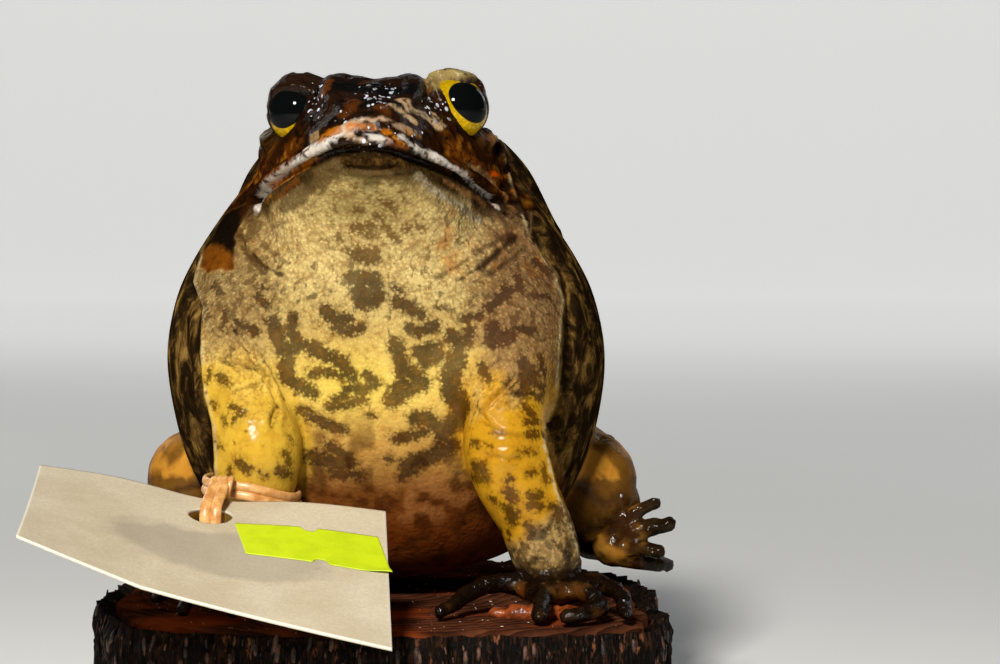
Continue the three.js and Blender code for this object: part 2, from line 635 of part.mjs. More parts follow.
// Point of the card: across from 0 at its left to 1, down from 0 at its top edge to 1.
function onTag(across, down, lift = 0) {
  const [a, b, c, d] = [tag.topLeft, tag.topRight, tag.lowLeft, tag.lowRight].map(aboveLog);
  const p = a.lerp(b, across).lerp(c.lerp(d, across), down);
  const corner = Math.max(0, 1 - across * 3) * down * down;
  const pulled = Math.exp(-(((across - tag.holeAcross) / 0.2) ** 2));
  p.z += lift + tag.cornerLift * corner;
  p.z -= tag.sagAtHole * pulled * (1 - down) + tag.sagBelow * Math.sin(Math.PI * across) * down;
  return p;
}

// Piece of card or paper on the tag's surface, pushed sideways by skew towards its lower edge.
function tagPlate({ left, right, top, bottom, skew = 0 }, thickness, lift, columns, rows) {
  const grid = (height) => Array.from({ length: rows + 1 }, (_, r) => Array.from({ length: columns + 1 },
    (__, c) => onTag(left + ((right - left) * c) / columns + (skew * r) / rows,
      top + ((bottom - top) * r) / rows, height)));
  return solid(plate(grid(lift + thickness), grid(lift)));
}

// The card with its punched hole; grow makes it thicker and the hole narrower.
function cardSolid(grow = 0) {
  const hole = onTag(tag.holeAcross, tag.holeDown);
  const upright = new THREE.Vector3(0, -0.25, 1).normalize();
  const punch = rodAt(hole.clone().addScaledVector(upright, -4), upright, tag.holeRadius - grow, 8, 20);
  const past = grow / 50;
  const whole = { left: -past, right: 1 + past, top: -past, bottom: 1 + past };
  return tagPlate(whole, tag.thickness + 2 * grow, -grow, 10, 6).subtract(punch);
}

function buildTag() {
  add('tag_card', cardSolid(), shades.card, 0.6);
  add('tag_sticker', tagPlate(sticker, sticker.thickness, tag.thickness + gap, 5, 3), shades.label, 0.5);
}

// A closed loop of rubber through points, without ends.
function loopOf(points, radius, steps, sides = 5) {
  const curve = new THREE.CatmullRomCurve3(points, true);
  const frames = curve.computeFrenetFrames(steps, true);
  const rings = Array.from({ length: steps }, (_, i) => {
    const centre = curve.getPointAt(i / steps);
    return Array.from({ length: sides }, (__, k) => {
      const turn = (2 * Math.PI * k) / sides;
      return centre.clone().addScaledVector(frames.normals[i], radius * Math.cos(turn))
        .addScaledVector(frames.binormals[i], radius * Math.sin(turn));
    });
  });
  const faces = [];
  const at = (ring, side) => (ring % steps) * sides + (side % sides);
  for (let ring = 0; ring < steps; ring += 1) {
    for (let side = 0; side < sides; side += 1) {
      faces.push(at(ring, side), at(ring, side + 1), at(ring + 1, side));
      faces.push(at(ring, side + 1), at(ring + 1, side + 1), at(ring + 1, side));
    }
  }
  const geometry = new THREE.BufferGeometry();
  geometry.setAttribute('position',
    new THREE.Float32BufferAttribute(rings.flat().flatMap((p) => p.toArray()), 3));
  geometry.setIndex(faces);
  return solid(geometry);
}

function buildBand(trunkGrown) {
  const knot = new THREE.Vector3(-20.4, -27.4, 18.6 + logTop);
  const around = Array.from({ length: 10 }, (_, i) => {
    const turn = (2 * Math.PI * i) / 10;
    const reach = 6.1 + gap + bandRadius;
    return new THREE.Vector3(-17 + reach * Math.cos(turn), -19.4 + reach * Math.sin(turn),
      17.2 - 1.3 * Math.cos(turn - 0.4) + logTop);
  });
  const hole = onTag(tag.holeAcross, tag.holeDown);
  const edge = onTag(tag.holeAcross, 0);
  const through = [
    knot.clone(),
    hole.clone().add(new THREE.Vector3(0.3, 3.6, 3.4)),
    hole.clone().add(new THREE.Vector3(0.1, 0.2, 1.4)),
    hole.clone().add(new THREE.Vector3(0, 0.2, -1.2)),
    hole.clone().add(new THREE.Vector3(0, 3.4, -2.6)),
    edge.clone().add(new THREE.Vector3(0.1, 2.2, -1.4)),
    edge.clone().add(new THREE.Vector3(0.3, 2, 0.8)),
  ];
  const bundle = join([
    egg(knot, [2.3, 1.5, 1.5], new THREE.Vector3(1, 0, 0.1), [8, 6]),
    loopOf(through, bandRadius, 15),
  ]);
  const fore = limb(forearm.right, { sides: 14, steps: 8, grow: gap, flip: -1 });
  add('band', loopOf(around, bandRadius, 20).add(bundle).subtract(fore).subtract(trunkGrown)
    .subtract(cardSolid(gap)), shades.rubber, 0.5);
}

buildLog();
const trunkGrown = buildBody();
buildLimbs(trunkGrown);
buildTag();
buildBand(trunkGrown);

export default toad;
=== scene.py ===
import math

import bpy
import numpy as np
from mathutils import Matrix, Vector, kdtree
from mathutils.bvhtree import BVHTree


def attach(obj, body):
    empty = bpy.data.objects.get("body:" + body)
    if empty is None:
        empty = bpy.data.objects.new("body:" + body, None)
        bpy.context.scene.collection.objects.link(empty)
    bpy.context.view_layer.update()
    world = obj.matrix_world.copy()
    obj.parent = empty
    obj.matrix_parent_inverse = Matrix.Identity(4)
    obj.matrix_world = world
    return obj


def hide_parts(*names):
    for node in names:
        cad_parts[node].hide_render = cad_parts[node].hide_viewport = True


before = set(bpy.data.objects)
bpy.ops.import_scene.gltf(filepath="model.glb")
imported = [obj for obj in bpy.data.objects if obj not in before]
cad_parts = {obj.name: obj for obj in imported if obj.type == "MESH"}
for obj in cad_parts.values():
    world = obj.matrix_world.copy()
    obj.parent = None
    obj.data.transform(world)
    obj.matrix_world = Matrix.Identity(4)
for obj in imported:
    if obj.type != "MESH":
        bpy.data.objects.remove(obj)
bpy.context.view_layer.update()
mm = 0.001
logTop = 20.0  # height of the log's top; sizes below are in millimetres, heights above this top


# camera, lights and floor

view = {
    "lens": 120.0,
    "sensor": 36.0,
    "place": (43.83, -495.84, 89.49),
    "aim": (18.6, -14.4, 60.0),
    "lightAim": (0, 0, 50),
    "floorShade": (0.86, 0.86, 0.84, 1.0),
    "skyShade": (0.80, 0.86, 0.95, 1.0),
    "skyPower": 0.05,
    "paperGlow": 0.62,
}


def aimAt(obj, target):
    way = Vector(target) * mm - obj.location
    obj.rotation_euler = way.to_track_quat("-Z", "Y").to_euler()


def linked(name, data):
    obj = bpy.data.objects.new(name, data)
    bpy.context.scene.collection.objects.link(obj)
    return obj


def makeCamera():
    data = bpy.data.cameras.new("camera")
    data.lens = view["lens"]
    data.sensor_width = view["sensor"]
    data.clip_start = 0.02
    data.clip_end = 20.0
    camera = linked("camera", data)
    camera.location = Vector(view["place"]) * mm
    aimAt(camera, view["aim"])
    bpy.context.scene.camera = camera


lamps = {  # each with its place, its width and height, its power and its shade
    "keyLight": ((-70, -420, 340), (75, 75), 3.7, (1.0, 0.97, 0.92)),
    "sideLight": ((320, 380, 300), (160, 240), 0.32, (0.96, 0.98, 1.0)),
    "sideLightRight": ((-320, 380, 300), (160, 240), 0.32, (0.98, 1.0, 0.96)),
}


def makeLight(name, place, size, power, shade):
    data = bpy.data.lights.new(name, "AREA")
    data.shape = "RECTANGLE"
    data.size, data.size_y = size[0] * mm, size[1] * mm
    data.energy = power
    data.color = shade
    light = linked(name, data)
    light.location = Vector(place) * mm
    aimAt(light, view["lightAim"])


makeCamera()
for name, values in lamps.items():
    makeLight(name, *values)
print("camera and lights ready")


# tools for shapes

def rowAt(rows, t):
    # Catmull-Rom values of a table of rows, t from 0 at its first row to 1 at its last
    rows = np.asarray(rows, float)
    place = np.clip(np.atleast_1d(np.asarray(t, float)), 0, 1) * (len(rows) - 1)
    first = np.minimum(place.astype(int), len(rows) - 2)
    f = (place - first)[:, None]
    a, b, c, d = [rows[np.clip(first + k, 0, len(rows) - 1)] for k in (-1, 0, 1, 2)]
    return ((2 * f**3 - 3 * f**2 + 1) * b + (f**3 - 2 * f**2 + f) * (c - a) / 2
            + (3 * f**2 - 2 * f**3) * c + (f**3 - f**2) * (d - b) / 2)


def eased(value, low, high):
    t = np.clip((value - low) / (high - low), 0, 1)
    return t * t * (3 - 2 * t)


def hump(distance, width):
    return np.exp(-(distance / width) ** 2)


def unit(v):
    v = np.asarray(v, float)
    return v / np.linalg.norm(v, axis=-1, keepdims=True)


def signedPower(value, power):
    return np.sign(value) * np.abs(value) ** power


def fullTurn(count):
    return np.linspace(0, 2 * math.pi, count, endpoint=False)


def bandFaces(low, high, sides):
    # faces between two rings whose points are counted from low and from high
    side = np.arange(sides)
    after = (side + 1) % sides
    return list(zip(low + side, low + after, high + after, high + side))


def loft(rings, start, end):
    # closed skin over rings of equally many points, drawn in to a point at each end
    count, sides = rings.shape[:2]
    points = np.vstack([[start], rings.reshape(-1, 3), [end]])
    side = np.arange(sides)
    after = (side + 1) % sides
    last = 1 + (count - 1) * sides
    faces = [(0, 1 + b, 1 + a) for a, b in zip(side, after)]
    faces += [(len(points) - 1, last + a, last + b) for a, b in zip(side, after)]
    for low in range(1, last, sides):
        faces += bandFaces(low, low + sides, sides)
    return points, faces


def looped(rings):
    # closed skin over rings that run on from the last one to the first
    count, sides = rings.shape[:2]
    faces = []
    for ring in range(count):
        faces += bandFaces(ring * sides, (ring + 1) % count * sides, sides)
    return rings.reshape(-1, 3), faces


def limb(rows, flip=1, sides=28, steps=36):
    # round-ended limb along points [x, y, height, radius] of the toad's left side
    rows = np.array(rows, float)
    rows[:, 0] *= flip
    rows[:, 2] += logTop
    t = np.linspace(0, 1, steps + 1)
    centre = rowAt(rows, t)
    heading = unit(rowAt(rows, t + 0.01)[:, :3] - rowAt(rows, t - 0.01)[:, :3])
    stations = [(centre[i, :3], heading[i], centre[i, 3]) for i in range(steps + 1)]
    for lean in np.radians([75, 60, 45, 30, 15]):
        for end, way in ((0, -1), (-1, 1)):
            one = (centre[end, :3] + way * heading[end] * centre[end, 3] * math.cos(lean), heading[end],
                   centre[end, 3] * math.sin(lean))
            stations.insert(len(stations) if way > 0 else 0, one)
    turn = fullTurn(sides)[:, None]
    side = np.cross([0, 0, 1], heading[0])
    if np.linalg.norm(side) < 0.2:
        side = np.array([1.0, 0, 0])
    rings = []
    for place, along, radius in stations:
        side = unit(side - along * side.dot(along))
        other = np.cross(along, side)
        rings.append(place + radius * (np.cos(turn) * side + np.sin(turn) * other))
    return loft(np.array(rings), centre[0, :3] - heading[0] * centre[0, 3],
                centre[-1, :3] + heading[-1] * centre[-1, 3])


def egg(centre, sizes, sides=32, steps=20):
    # ball with its own size across, along and up
    lean = np.linspace(0, math.pi, steps + 1)[1:-1]
    turn = fullTurn(sides)
    rings = np.array([[(math.sin(a) * math.cos(b), math.sin(a) * math.sin(b), -math.cos(a)) for b in turn]
                      for a in lean])
    centre = np.asarray(centre, float)
    sizes = np.asarray(sizes, float)
    return loft(rings * sizes + centre, centre - [0, 0, sizes[2]], centre + [0, 0, sizes[2]])


def joined(shapes):
    # points and faces of all the shapes as one
    points, faces, base = [], [], 0
    for shape, part in shapes:
        points.append(shape)
        faces += [tuple(i + base for i in face) for face in part]
        base += len(shape)
    return np.vstack(points), faces


def newObject(name, points, faces, scale=mm):
    mesh = bpy.data.meshes.new(name)
    mesh.from_pydata((np.asarray(points) * scale).tolist(), [], [tuple(int(i) for i in f) for f in faces])
    mesh.update()
    return linked(name, mesh)


def evaluatedMesh(obj):
    # the object's mesh with its modifiers applied
    graph = bpy.context.evaluated_depsgraph_get()
    graph.update()
    mesh = bpy.data.meshes.new_from_object(obj.evaluated_get(graph))
    obj.modifiers.clear()
    old = obj.data
    obj.data = mesh
    bpy.data.meshes.remove(old)
    mesh.name = obj.name
    return mesh


def fused(name, shapes, voxel):
    # one even skin over all the shapes, in millimetres
    piece = newObject(name, *joined(shapes), 1.0)
    remesh = piece.modifiers.new("remesh", "REMESH")
    remesh.mode = "VOXEL"
    remesh.voxel_size = voxel
    return piece, evaluatedMesh(piece)


def readRows(items, name, width, kind=np.float32):
    values = np.empty(len(items) * width, kind)
    items.foreach_get(name, values)
    return values.reshape(-1, width)


def pointsOf(mesh):
    return readRows(mesh.vertices, "co", 3).astype(float)


def normalsOf(mesh):
    return readRows(mesh.vertices, "normal", 3).astype(float)


def edgesOf(mesh):
    return readRows(mesh.edges, "vertices", 2, np.int32)


def setPoints(mesh, co):
    mesh.vertices.foreach_set("co", np.asarray(co, np.float32).ravel())
    mesh.update()


def relax(co, edges, shares):
    # move each point by a share of its way to the middle of its neighbours, once for every share given
    count = len(co)
    degree = np.bincount(edges.ravel(), minlength=count)[:, None]
    for share in shares:
        total = np.stack([np.bincount(edges[:, 0], co[edges[:, 1], k], count)
                          + np.bincount(edges[:, 1], co[edges[:, 0], k], count) for k in range(3)], axis=1)
        co = co + share * (total / degree - co)
    return co


evenOut = [0.5, -0.52]  # shares that even out a mesh without shrinking it


def lineDistance(co, line):
    # distance of each point from a line through the points given, in as many axes as they have
    line = np.asarray(line, float)
    best = np.full(len(co), 1e9)
    along = np.zeros(len(co))
    for i in range(max(1, len(line) - 1)):
        a, b = line[i], line[min(i + 1, len(line) - 1)]
        span = b - a
        f = np.clip(((co - a) @ span) / max(1e-9, span @ span), 0, 1)
        d = np.linalg.norm(co - a - f[:, None] * span, axis=1)
        along = np.where(d < best, i + f, along)
        best = np.minimum(best, d)
    return best, along / max(1, len(line) - 1)


# tools for materials

making = {}  # the material in hand: itself, its tree, its shader, and its place on the object


class nodeValue:
    # what a node gives, so that a sum of such values is written as one
    def __init__(self, socket):
        self.socket = socket

    def __add__(self, other):
        return maths("ADD", self, other)

    def __sub__(self, other):
        return maths("SUBTRACT", self, other)

    def __rsub__(self, other):
        return maths("SUBTRACT", other, self)

    def __mul__(self, other):
        return maths("MULTIPLY", self, other)

    def __truediv__(self, other):
        return maths("DIVIDE", self, other)


def put(socket, value):
    # link what a node gives, and set anything else
    if isinstance(value, nodeValue):
        value = value.socket
    if isinstance(value, bpy.types.NodeSocket):
        socket.id_data.links.new(value, socket)
    else:
        socket.default_value = value


def addNode(tree, kind, settings=(), **inputs):
    made = tree.nodes.new(kind)
    for key, value in dict(settings).items():
        setattr(made, key, value)
    for key, value in inputs.items():
        put(made.inputs[key.replace("_", " ")], value)
    return made


def node(kind, settings=(), **inputs):
    return addNode(making["tree"], "ShaderNode" + kind, settings, **inputs)


def startMaterial(name):
    material = bpy.data.materials.new(name)
    material.use_nodes = True
    making.update(material=material, tree=material.node_tree)
    material.node_tree.nodes.clear()
    making.update(shader=node("BsdfPrincipled"), place=node("TexCoord").outputs["Object"])
    node("OutputMaterial", Surface=making["shader"].outputs["BSDF"])


def finished(**values):
    # the material with these values in its shader
    for key, value in values.items():
        put(making["shader"].inputs[key.replace("_", " ")], value)
    return making["material"]


def colour(red, green, blue):
    # screen colour, 0 to 255, as a shader takes it
    linear = [((c / 255 + 0.055) / 1.055) ** 2.4 if c > 10 else c / 255 / 12.92 for c in (red, green, blue)]
    return (*linear, 1.0)


def maths(operation, *values, clamp=False):
    made = node("Math", {"operation": operation, "use_clamp": clamp})
    for socket, value in zip(made.inputs, values):
        put(socket, value)
    return nodeValue(made.outputs[0])


def mixed(share, first, second, how="MIX"):
    made = node("Mix", {"data_type": "RGBA", "blend_type": how})
    sockets = {socket.identifier: socket for socket in made.inputs}
    for name, value in (("Factor_Float", share), ("A_Color", first), ("B_Color", second)):
        put(sockets[name], value)
    return next(socket for socket in made.outputs if socket.identifier == "Result_Color")


def between(value, low, high, start=0.0, end=1.0):
    # value's place between low and high, eased, as a number from start to end
    made = node("MapRange", {"interpolation_type": "SMOOTHSTEP"}, Value=value, From_Min=low, From_Max=high,
                To_Min=start, To_Max=end)
    return nodeValue(made.outputs["Result"])


def cloud(size, detail=3.0, rough=0.55, warp=0.0, stretch=None):
    # noise from 0 to 1 with humps about size millimetres wide, longer where stretch is under 1
    place = making["place"]
    if stretch:
        place = node("Mapping", {"vector_type": "POINT"}, Vector=place, Scale=stretch).outputs["Vector"]
    made = node("TexNoise", Vector=place, Scale=1000 / size, Detail=detail, Roughness=rough, Distortion=warp)
    return nodeValue(made.outputs["Fac"])


def cells(size, **inputs):
    # distance from the middle of cells about size millimetres wide
    made = node("TexVoronoi", {"feature": "SMOOTH_F1" if inputs else "F1"}, Vector=making["place"],
                Scale=1000 / size, **inputs)
    return nodeValue(made.outputs["Distance"])


def shades(value, *stops):
    ramp = node("ValToRGB", Fac=value)
    elements = ramp.color_ramp.elements
    while len(elements) < len(stops):
        elements.new(0.5)
    for element, (place, *rgb) in zip(elements, stops):
        element.position = place
        element.color = colour(*rgb)
    return ramp.outputs["Color"]


def raised(height, depth, under=None):
    # bump of a height from 0 to 1, depth in millimetres
    made = node("Bump", Height=height, Distance=depth * mm)
    if under is not None:
        put(made.inputs["Normal"], under)
    return made.outputs["Normal"]


def carried(name, kind="Fac"):
    return nodeValue(node("Attribute", {"attribute_name": name}).outputs[kind])


def giveNumbers(mesh, name, values):
    layer = mesh.attributes.new(name, "FLOAT", "POINT")
    layer.data.foreach_set("value", np.asarray(values, np.float32))


def giveColours(mesh, name, values):
    layer = mesh.attributes.new(name, "FLOAT_COLOR", "POINT")
    layer.data.foreach_set("color", np.asarray(values, np.float32).ravel())


def dress(piece, material, slot, *nodes):
    piece.data.materials.clear()
    piece.data.materials.append(material)
    piece.data.polygons.foreach_set("use_smooth", [True] * len(piece.data.polygons))
    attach(piece, "root")
    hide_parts(*nodes)


# grains strewn over a surface by Geometry Nodes

def strew(name, ground, share, grain, material):
    # closest together where the surface's own attribute is high; sizes in metres
    grains = linked(name, ground.data.copy())
    group = bpy.data.node_groups.new(name, "GeometryNodeTree")
    group.interface.new_socket("Geometry", in_out="INPUT", socket_type="NodeSocketGeometry")
    group.interface.new_socket("Geometry", in_out="OUTPUT", socket_type="NodeSocketGeometry")
    knobs = {label: group.interface.new_socket(label, in_out="INPUT", socket_type="NodeSocketFloat")
             for label in ("perSquareMetre", "smallest", "largest", "long", "thick", "crumpled")}

    def add(kind, settings=(), **links):
        return addNode(group, kind, settings, **links)

    def times(first, second, operation="MULTIPLY"):
        one = add("ShaderNodeMath", {"operation": operation})
        put(one.inputs[0], first)
        put(one.inputs[1], second)
        return one.outputs[0]

    given = add("NodeGroupInput").outputs
    here = add("GeometryNodeInputNamedAttribute", {"data_type": "FLOAT"}, Name=share)
    spots = add("GeometryNodeDistributePointsOnFaces", Mesh=given["Geometry"], Seed=grain["seed"],
                Density=times(here.outputs["Attribute"], given["perSquareMetre"]))
    ball = add("GeometryNodeMeshIcoSphere", Subdivisions=grain["roundness"], Radius=1.0)
    dent = add("ShaderNodeTexNoise", Scale=1.1)
    push = add("ShaderNodeVectorMath", {"operation": "SUBTRACT"})
    put(push.inputs[0], dent.outputs["Color"])
    push.inputs[1].default_value = (0.5, 0.5, 0.5)
    grow = add("ShaderNodeVectorMath", {"operation": "SCALE"}, Scale=given["crumpled"])
    put(grow.inputs[0], push.outputs[0])
    lump = add("GeometryNodeSetPosition", Geometry=ball.outputs["Mesh"], Offset=grow.outputs[0])
    draw = add("FunctionNodeRandomValue", {"data_type": "FLOAT"}, Seed=grain["seed"] + 1)
    size = times(given["smallest"], times(times(draw.outputs[1], 2.5, "POWER"), times(
        given["largest"], given["smallest"], "SUBTRACT")), "ADD")
    scale = add("ShaderNodeCombineXYZ", X=size, Y=times(size, given["long"]), Z=times(size, given["thick"]))
    turned = spots.outputs["Rotation"]
    if grain["upright"]:
        align = add("FunctionNodeAlignRotationToVector", {"axis": "Y", "pivot_axis": "Z"}, Rotation=turned)
        align.inputs["Vector"].default_value = (0, 0, 1)
        turned = align.outputs["Rotation"]
    laid = add("GeometryNodeInstanceOnPoints", Points=spots.outputs["Points"], Instance=lump.outputs[0],
               Rotation=turned, Scale=scale.outputs[0])
    real = add("GeometryNodeRealizeInstances", Geometry=laid.outputs[0])
    coat = add("GeometryNodeSetMaterial", Geometry=real.outputs[0])
    coat.inputs["Material"].default_value = material
    add("NodeGroupOutput", Geometry=coat.outputs[0])
    modifier = grains.modifiers.new("strew", "NODES")
    modifier.node_group = group
    for label, socket in knobs.items():
        modifier[socket.identifier] = float(grain[label])
    mesh = evaluatedMesh(grains)
    print(name, len(mesh.polygons), "faces")
    return grains


# pale paper floor

def makeStage():
    # pale paper that runs from the floor up behind
    half, front, back, bend, top = 2.2, -1.8, 1.3, 0.5, 0.62
    lean = np.linspace(0, math.pi / 2, 24)
    curve = [(back + bend * math.sin(k), bend - bend * math.cos(k)) for k in lean]
    profile = [(front, 0.0), *curve, (back + bend, top)]
    points = [(x, y, z) for y, z in profile for x in (-half, half)]
    faces = [(2 * i, 2 * i + 1, 2 * i + 3, 2 * i + 2) for i in range(len(profile) - 1)]
    mesh = bpy.data.meshes.new("floor")
    mesh.from_pydata(points, [], faces)
    floor = linked("floor", mesh)
    floor.location.z = -0.2 * mm
    mesh.polygons.foreach_set("use_smooth", [True] * len(mesh.polygons))
    startMaterial("floorPaper")
    depth = node("SeparateXYZ", Vector=making["place"]).outputs["Y"]
    mesh.materials.append(finished(
        Base_Color=view["floorShade"], Roughness=0.9, Emission_Color=view["floorShade"],
        Emission_Strength=between(depth, 0.1, 1.0, 0.0, view["paperGlow"])))

    world = bpy.data.worlds.new("studio")
    bpy.context.scene.world = world
    world.use_nodes = True
    sky = world.node_tree.nodes["Background"]
    sky.inputs["Color"].default_value = view["skyShade"]
    sky.inputs["Strength"].default_value = view["skyPower"]
    bpy.context.scene.view_settings.view_transform = "Standard"


makeStage()
print("stage ready")


# toad's form: the same sizes as its solids

trunk = {
    "stations": [  # height, half width, front and back
        (2.6, 11, -3, 27), (5.5, 19.5, -10, 35), (11, 26, -14.5, 40.5), (19, 30.4, -17.5, 43.5),
        (28, 32.7, -19, 43), (36, 33.2, -19.3, 40), (44, 31.6, -18, 36.2), (50, 28.8, -15.5, 32.4),
        (56, 24.8, -12, 28.2), (61.5, 20.6, -7.5, 23.6), (66, 16.6, -2.5, 18.8), (69, 11.5, 2, 14.5)],
    "roundness": 2.25,
}
head = {
    "corner": (-0.3, 2, 56.8),
    "pitch": 20.6,
    "roundness": 2.4,
    "sections": [  # ahead, half width, height, depth
        (-12, 15, 11, 13), (-7, 18.2, 14, 17), (-2, 19.5, 15.8, 18), (3, 19, 16.7, 18), (8, 17.4, 17, 18),
        (12, 15.7, 16.8, 16.5), (15, 14.1, 15.9, 12.6), (18, 12.2, 14, 9), (21, 10, 11.8, 6.2),
        (24, 7.6, 9.5, 4.3), (26.4, 5.2, 7.3, 2.7), (27.8, 3, 5, 1.5)],
    "jawInset": 0.95,
}
eyes = {
    "ahead": 12, "up": 11.9, "radius": 4.7, "orbit": 5.5,
    "aside": {1: 11.9, -1: 11.1},
    "settle": {1: (0, 0, 0.25), -1: (-0.15, 0, -0.2)},
    "orbitShift": (-0.5, 0.3, 0.35),
    "gaze": {1: (0.57, -0.791, 0.224), -1: (-0.373, -0.927, 0.035)},
}
arms = {
    "upper": [(18.8, -1, 44, 8.4), (18.4, -6.4, 40.5, 9.3), (18.4, -10.8, 35.5, 8.7), (19.3, -14.6, 30, 6.8)],
    1: [(19.8, -15.5, 31.5, 5.4), (19.6, -18.5, 24.5, 6.1), (20.8, -19.4, 19.5, 5.8), (23.6, -19.2, 14, 5.3),
        (25.4, -19, 9, 5.2), (26.4, -19.2, 5.2, 4.4)],
    -1: [(19, -15.5, 31.5, 5.6), (16.2, -18.8, 24, 6.4), (16.6, -19.4, 19, 6.1), (18.4, -19.2, 14, 5.5),
         (20, -19, 9, 5.2), (20.8, -19.2, 5.2, 4.4)],
}
palm = {"ahead": -22, "up": 3.6, "length": 5.4, "width": 5.6, "thickness": 2.3}
fingers = {
    1: [[(23.6, -21, 3.7, 1.9), (18.6, -22.2, 4.5, 1.5), (14.6, -24.4, 3.3, 1.3), (12.4, -27.6, 1.9, 1.15),
         (11, -30.4, 1.3, 0.95)],
        [(25.2, -22.5, 3.7, 2.0), (25.3, -27, 3.4, 1.5), (25.2, -30.8, 2.3, 1.45), (25.1, -33.6, 1.5, 1.15)],
        [(28.6, -22.5, 3.8, 2.0), (31.4, -26.6, 3.8, 1.45), (33.5, -30.4, 2.4, 1.3), (31.6, -33.2, 1.7, 1.2),
         (28.9, -33.8, 1.4, 1.05)],
        [(30, -21, 4.1, 1.8), (33.6, -24.2, 4.8, 1.4), (36.3, -28.6, 3.7, 1.25), (37.2, -32.8, 1.5, 1.0)]],
    -1: [[(17.8, -20, 4.2, 1.5), (14, -21.6, 4.4, 1.15), (10.6, -23.6, 3, 1), (7.4, -25.6, 1.4, 0.85)],
         [(20, -22, 4, 1.6), (19.4, -26, 3.7, 1.25), (18.8, -29.6, 2.4, 1.2), (18.4, -31.6, 1.4, 1)],
         [(22.6, -22, 4, 1.6), (24, -25.8, 3.8, 1.2), (25, -29, 2.6, 1.1), (25.4, -31.4, 1.4, 0.95)],
         [(24, -20, 4.2, 1.5), (26.6, -20.6, 4.4, 1.15), (29, -20, 3.2, 1.05), (31, -18.6, 1.4, 0.9)]],
}
legs = {
    "thigh": [(11, 32, 15.5, 10.4), (19.5, 27.4, 16.4, 10.4), (26.2, 21.6, 16, 9), (30.2, 18, 15, 7.9)],
    "shank": [(31.2, 17, 12.6, 6.8), (32.6, 20.5, 9.6, 6.4), (32, 28, 7.2, 5.2), (30, 35.5, 5.4, 4.1)],
    "tarsus": [(30.4, 35.5, 3.4, 2.9), (35, 30, 3.5, 2.9), (36.4, 21.6, 4.3, 3), (34.4, 14.4, 5.2, 3.1)],
    "toes": [[(34, 14, 6.6, 1.6), (37.4, 12.6, 10.4, 1.1), (41, 13, 12.1, 0.95)],
             [(34.6, 13.4, 5.6, 1.7), (38.6, 12, 8, 1.45), (43, 11.6, 9, 1.3)],
             [(34.6, 13.2, 4.6, 1.7), (38.4, 11.2, 5.4, 1.35), (41.6, 9.6, 5.1, 1.1)],
             [(35, 14, 4, 1.8), (38.6, 13.4, 3.2, 1.5), (41.2, 15.4, 2.5, 1.3), (42.8, 19, 1.8, 1.05)],
             [(35.4, 16.4, 3.6, 1.7), (38.6, 19.4, 2.6, 1.3), (40.4, 24, 1.8, 1.1)]],
    "webReach": 0.55,
    "webThickness": 0.7,
}
parotoid = {"rows": [(0.94, 30, 4.2), (0.86, 32, 6.4), (0.76, 31, 7.2), (0.66, 29, 5)], "sunk": 0.66}

pitch = math.radians(head["pitch"])
ahead = np.array([0, -math.cos(pitch), math.sin(pitch)])
upward = np.array([0, math.sin(pitch), math.cos(pitch)])
mouthCorner = np.array(head["corner"], float) + [0, 0, logTop]


def inHead(a, b, c):
    a, b, c = np.broadcast_arrays(np.asarray(a, float), np.asarray(b, float), np.asarray(c, float))
    side = np.array([1.0, 0, 0])
    return mouthCorner + a[..., None] * ahead + b[..., None] * side + c[..., None] * upward


def headPlace(co):
    # ahead, aside and up of points, as the head's solids are laid out
    local = co - mouthCorner
    return local @ ahead, local[:, 0], local @ upward


def onTrunk(t, turn, grow=0.0):
    z, half, front, back = rowAt(trunk["stations"], t).T
    power = 2 / trunk["roundness"]
    return np.stack([(half + grow) * signedPower(np.cos(turn), power),
                     (front + back) / 2 + ((back - front) / 2 + grow) * signedPower(np.sin(turn), power),
                     z + logTop + 0 * turn], axis=-1)


def trunkShape(sides=110, steps=90):
    turn = fullTurn(sides)
    rings = np.array([onTrunk([t], turn) for t in np.linspace(0, 1, steps + 1)])
    low, top = trunk["stations"][0], trunk["stations"][-1]
    return loft(rings, (0, (low[2] + low[3]) / 2, low[0] - 0.7 + logTop),
                (0, (top[2] + top[3]) / 2, top[0] + 1.4 + logTop))


def headShape(above, sides=110, steps=90):
    # the head above the mouth, or the narrower jaw and throat below it
    turn = fullTurn(sides)
    power = 2 / head["roundness"]
    inset = 1.0 if above else head["jawInset"]
    rings = []
    for a, half, height, depth in rowAt(head["sections"], np.linspace(0, 1, steps + 1)):
        rise = np.where(np.sin(turn) > 0, height if above else 0.2, 0.1 if above else depth)
        reach = a if above else a - 0.9 * eased(a, 10, 27)
        rings.append(inHead(reach, inset * half * signedPower(np.cos(turn), power),
                            rise * signedPower(np.sin(turn), power)))
    nose = 28.3 if above else 27.3
    return loft(np.array(rings), inHead(-13.5, 0, 0), inHead(nose, 0, 1.6 if above else -0.6))


def eyeCentre(flip):
    return inHead(eyes["ahead"], flip * eyes["aside"][flip], eyes["up"]) + eyes["settle"][flip]


def headRidge(points, flip):
    rows = [(*(inHead(a, flip * b, c) * [flip, 1, 1] - [0, 0, logTop]), radius) for a, b, c, radius in points]
    return limb(rows, flip, sides=16, steps=30)


def parotoidShape(flip):
    rows = []
    for t, degrees, radius in parotoid["rows"]:
        place = onTrunk([t], np.array([math.radians(degrees)]), -parotoid["sunk"] * radius)[0]
        rows.append((place[0], place[1], place[2] - logTop, radius))
    return limb(rows, flip, sides=40, steps=40)


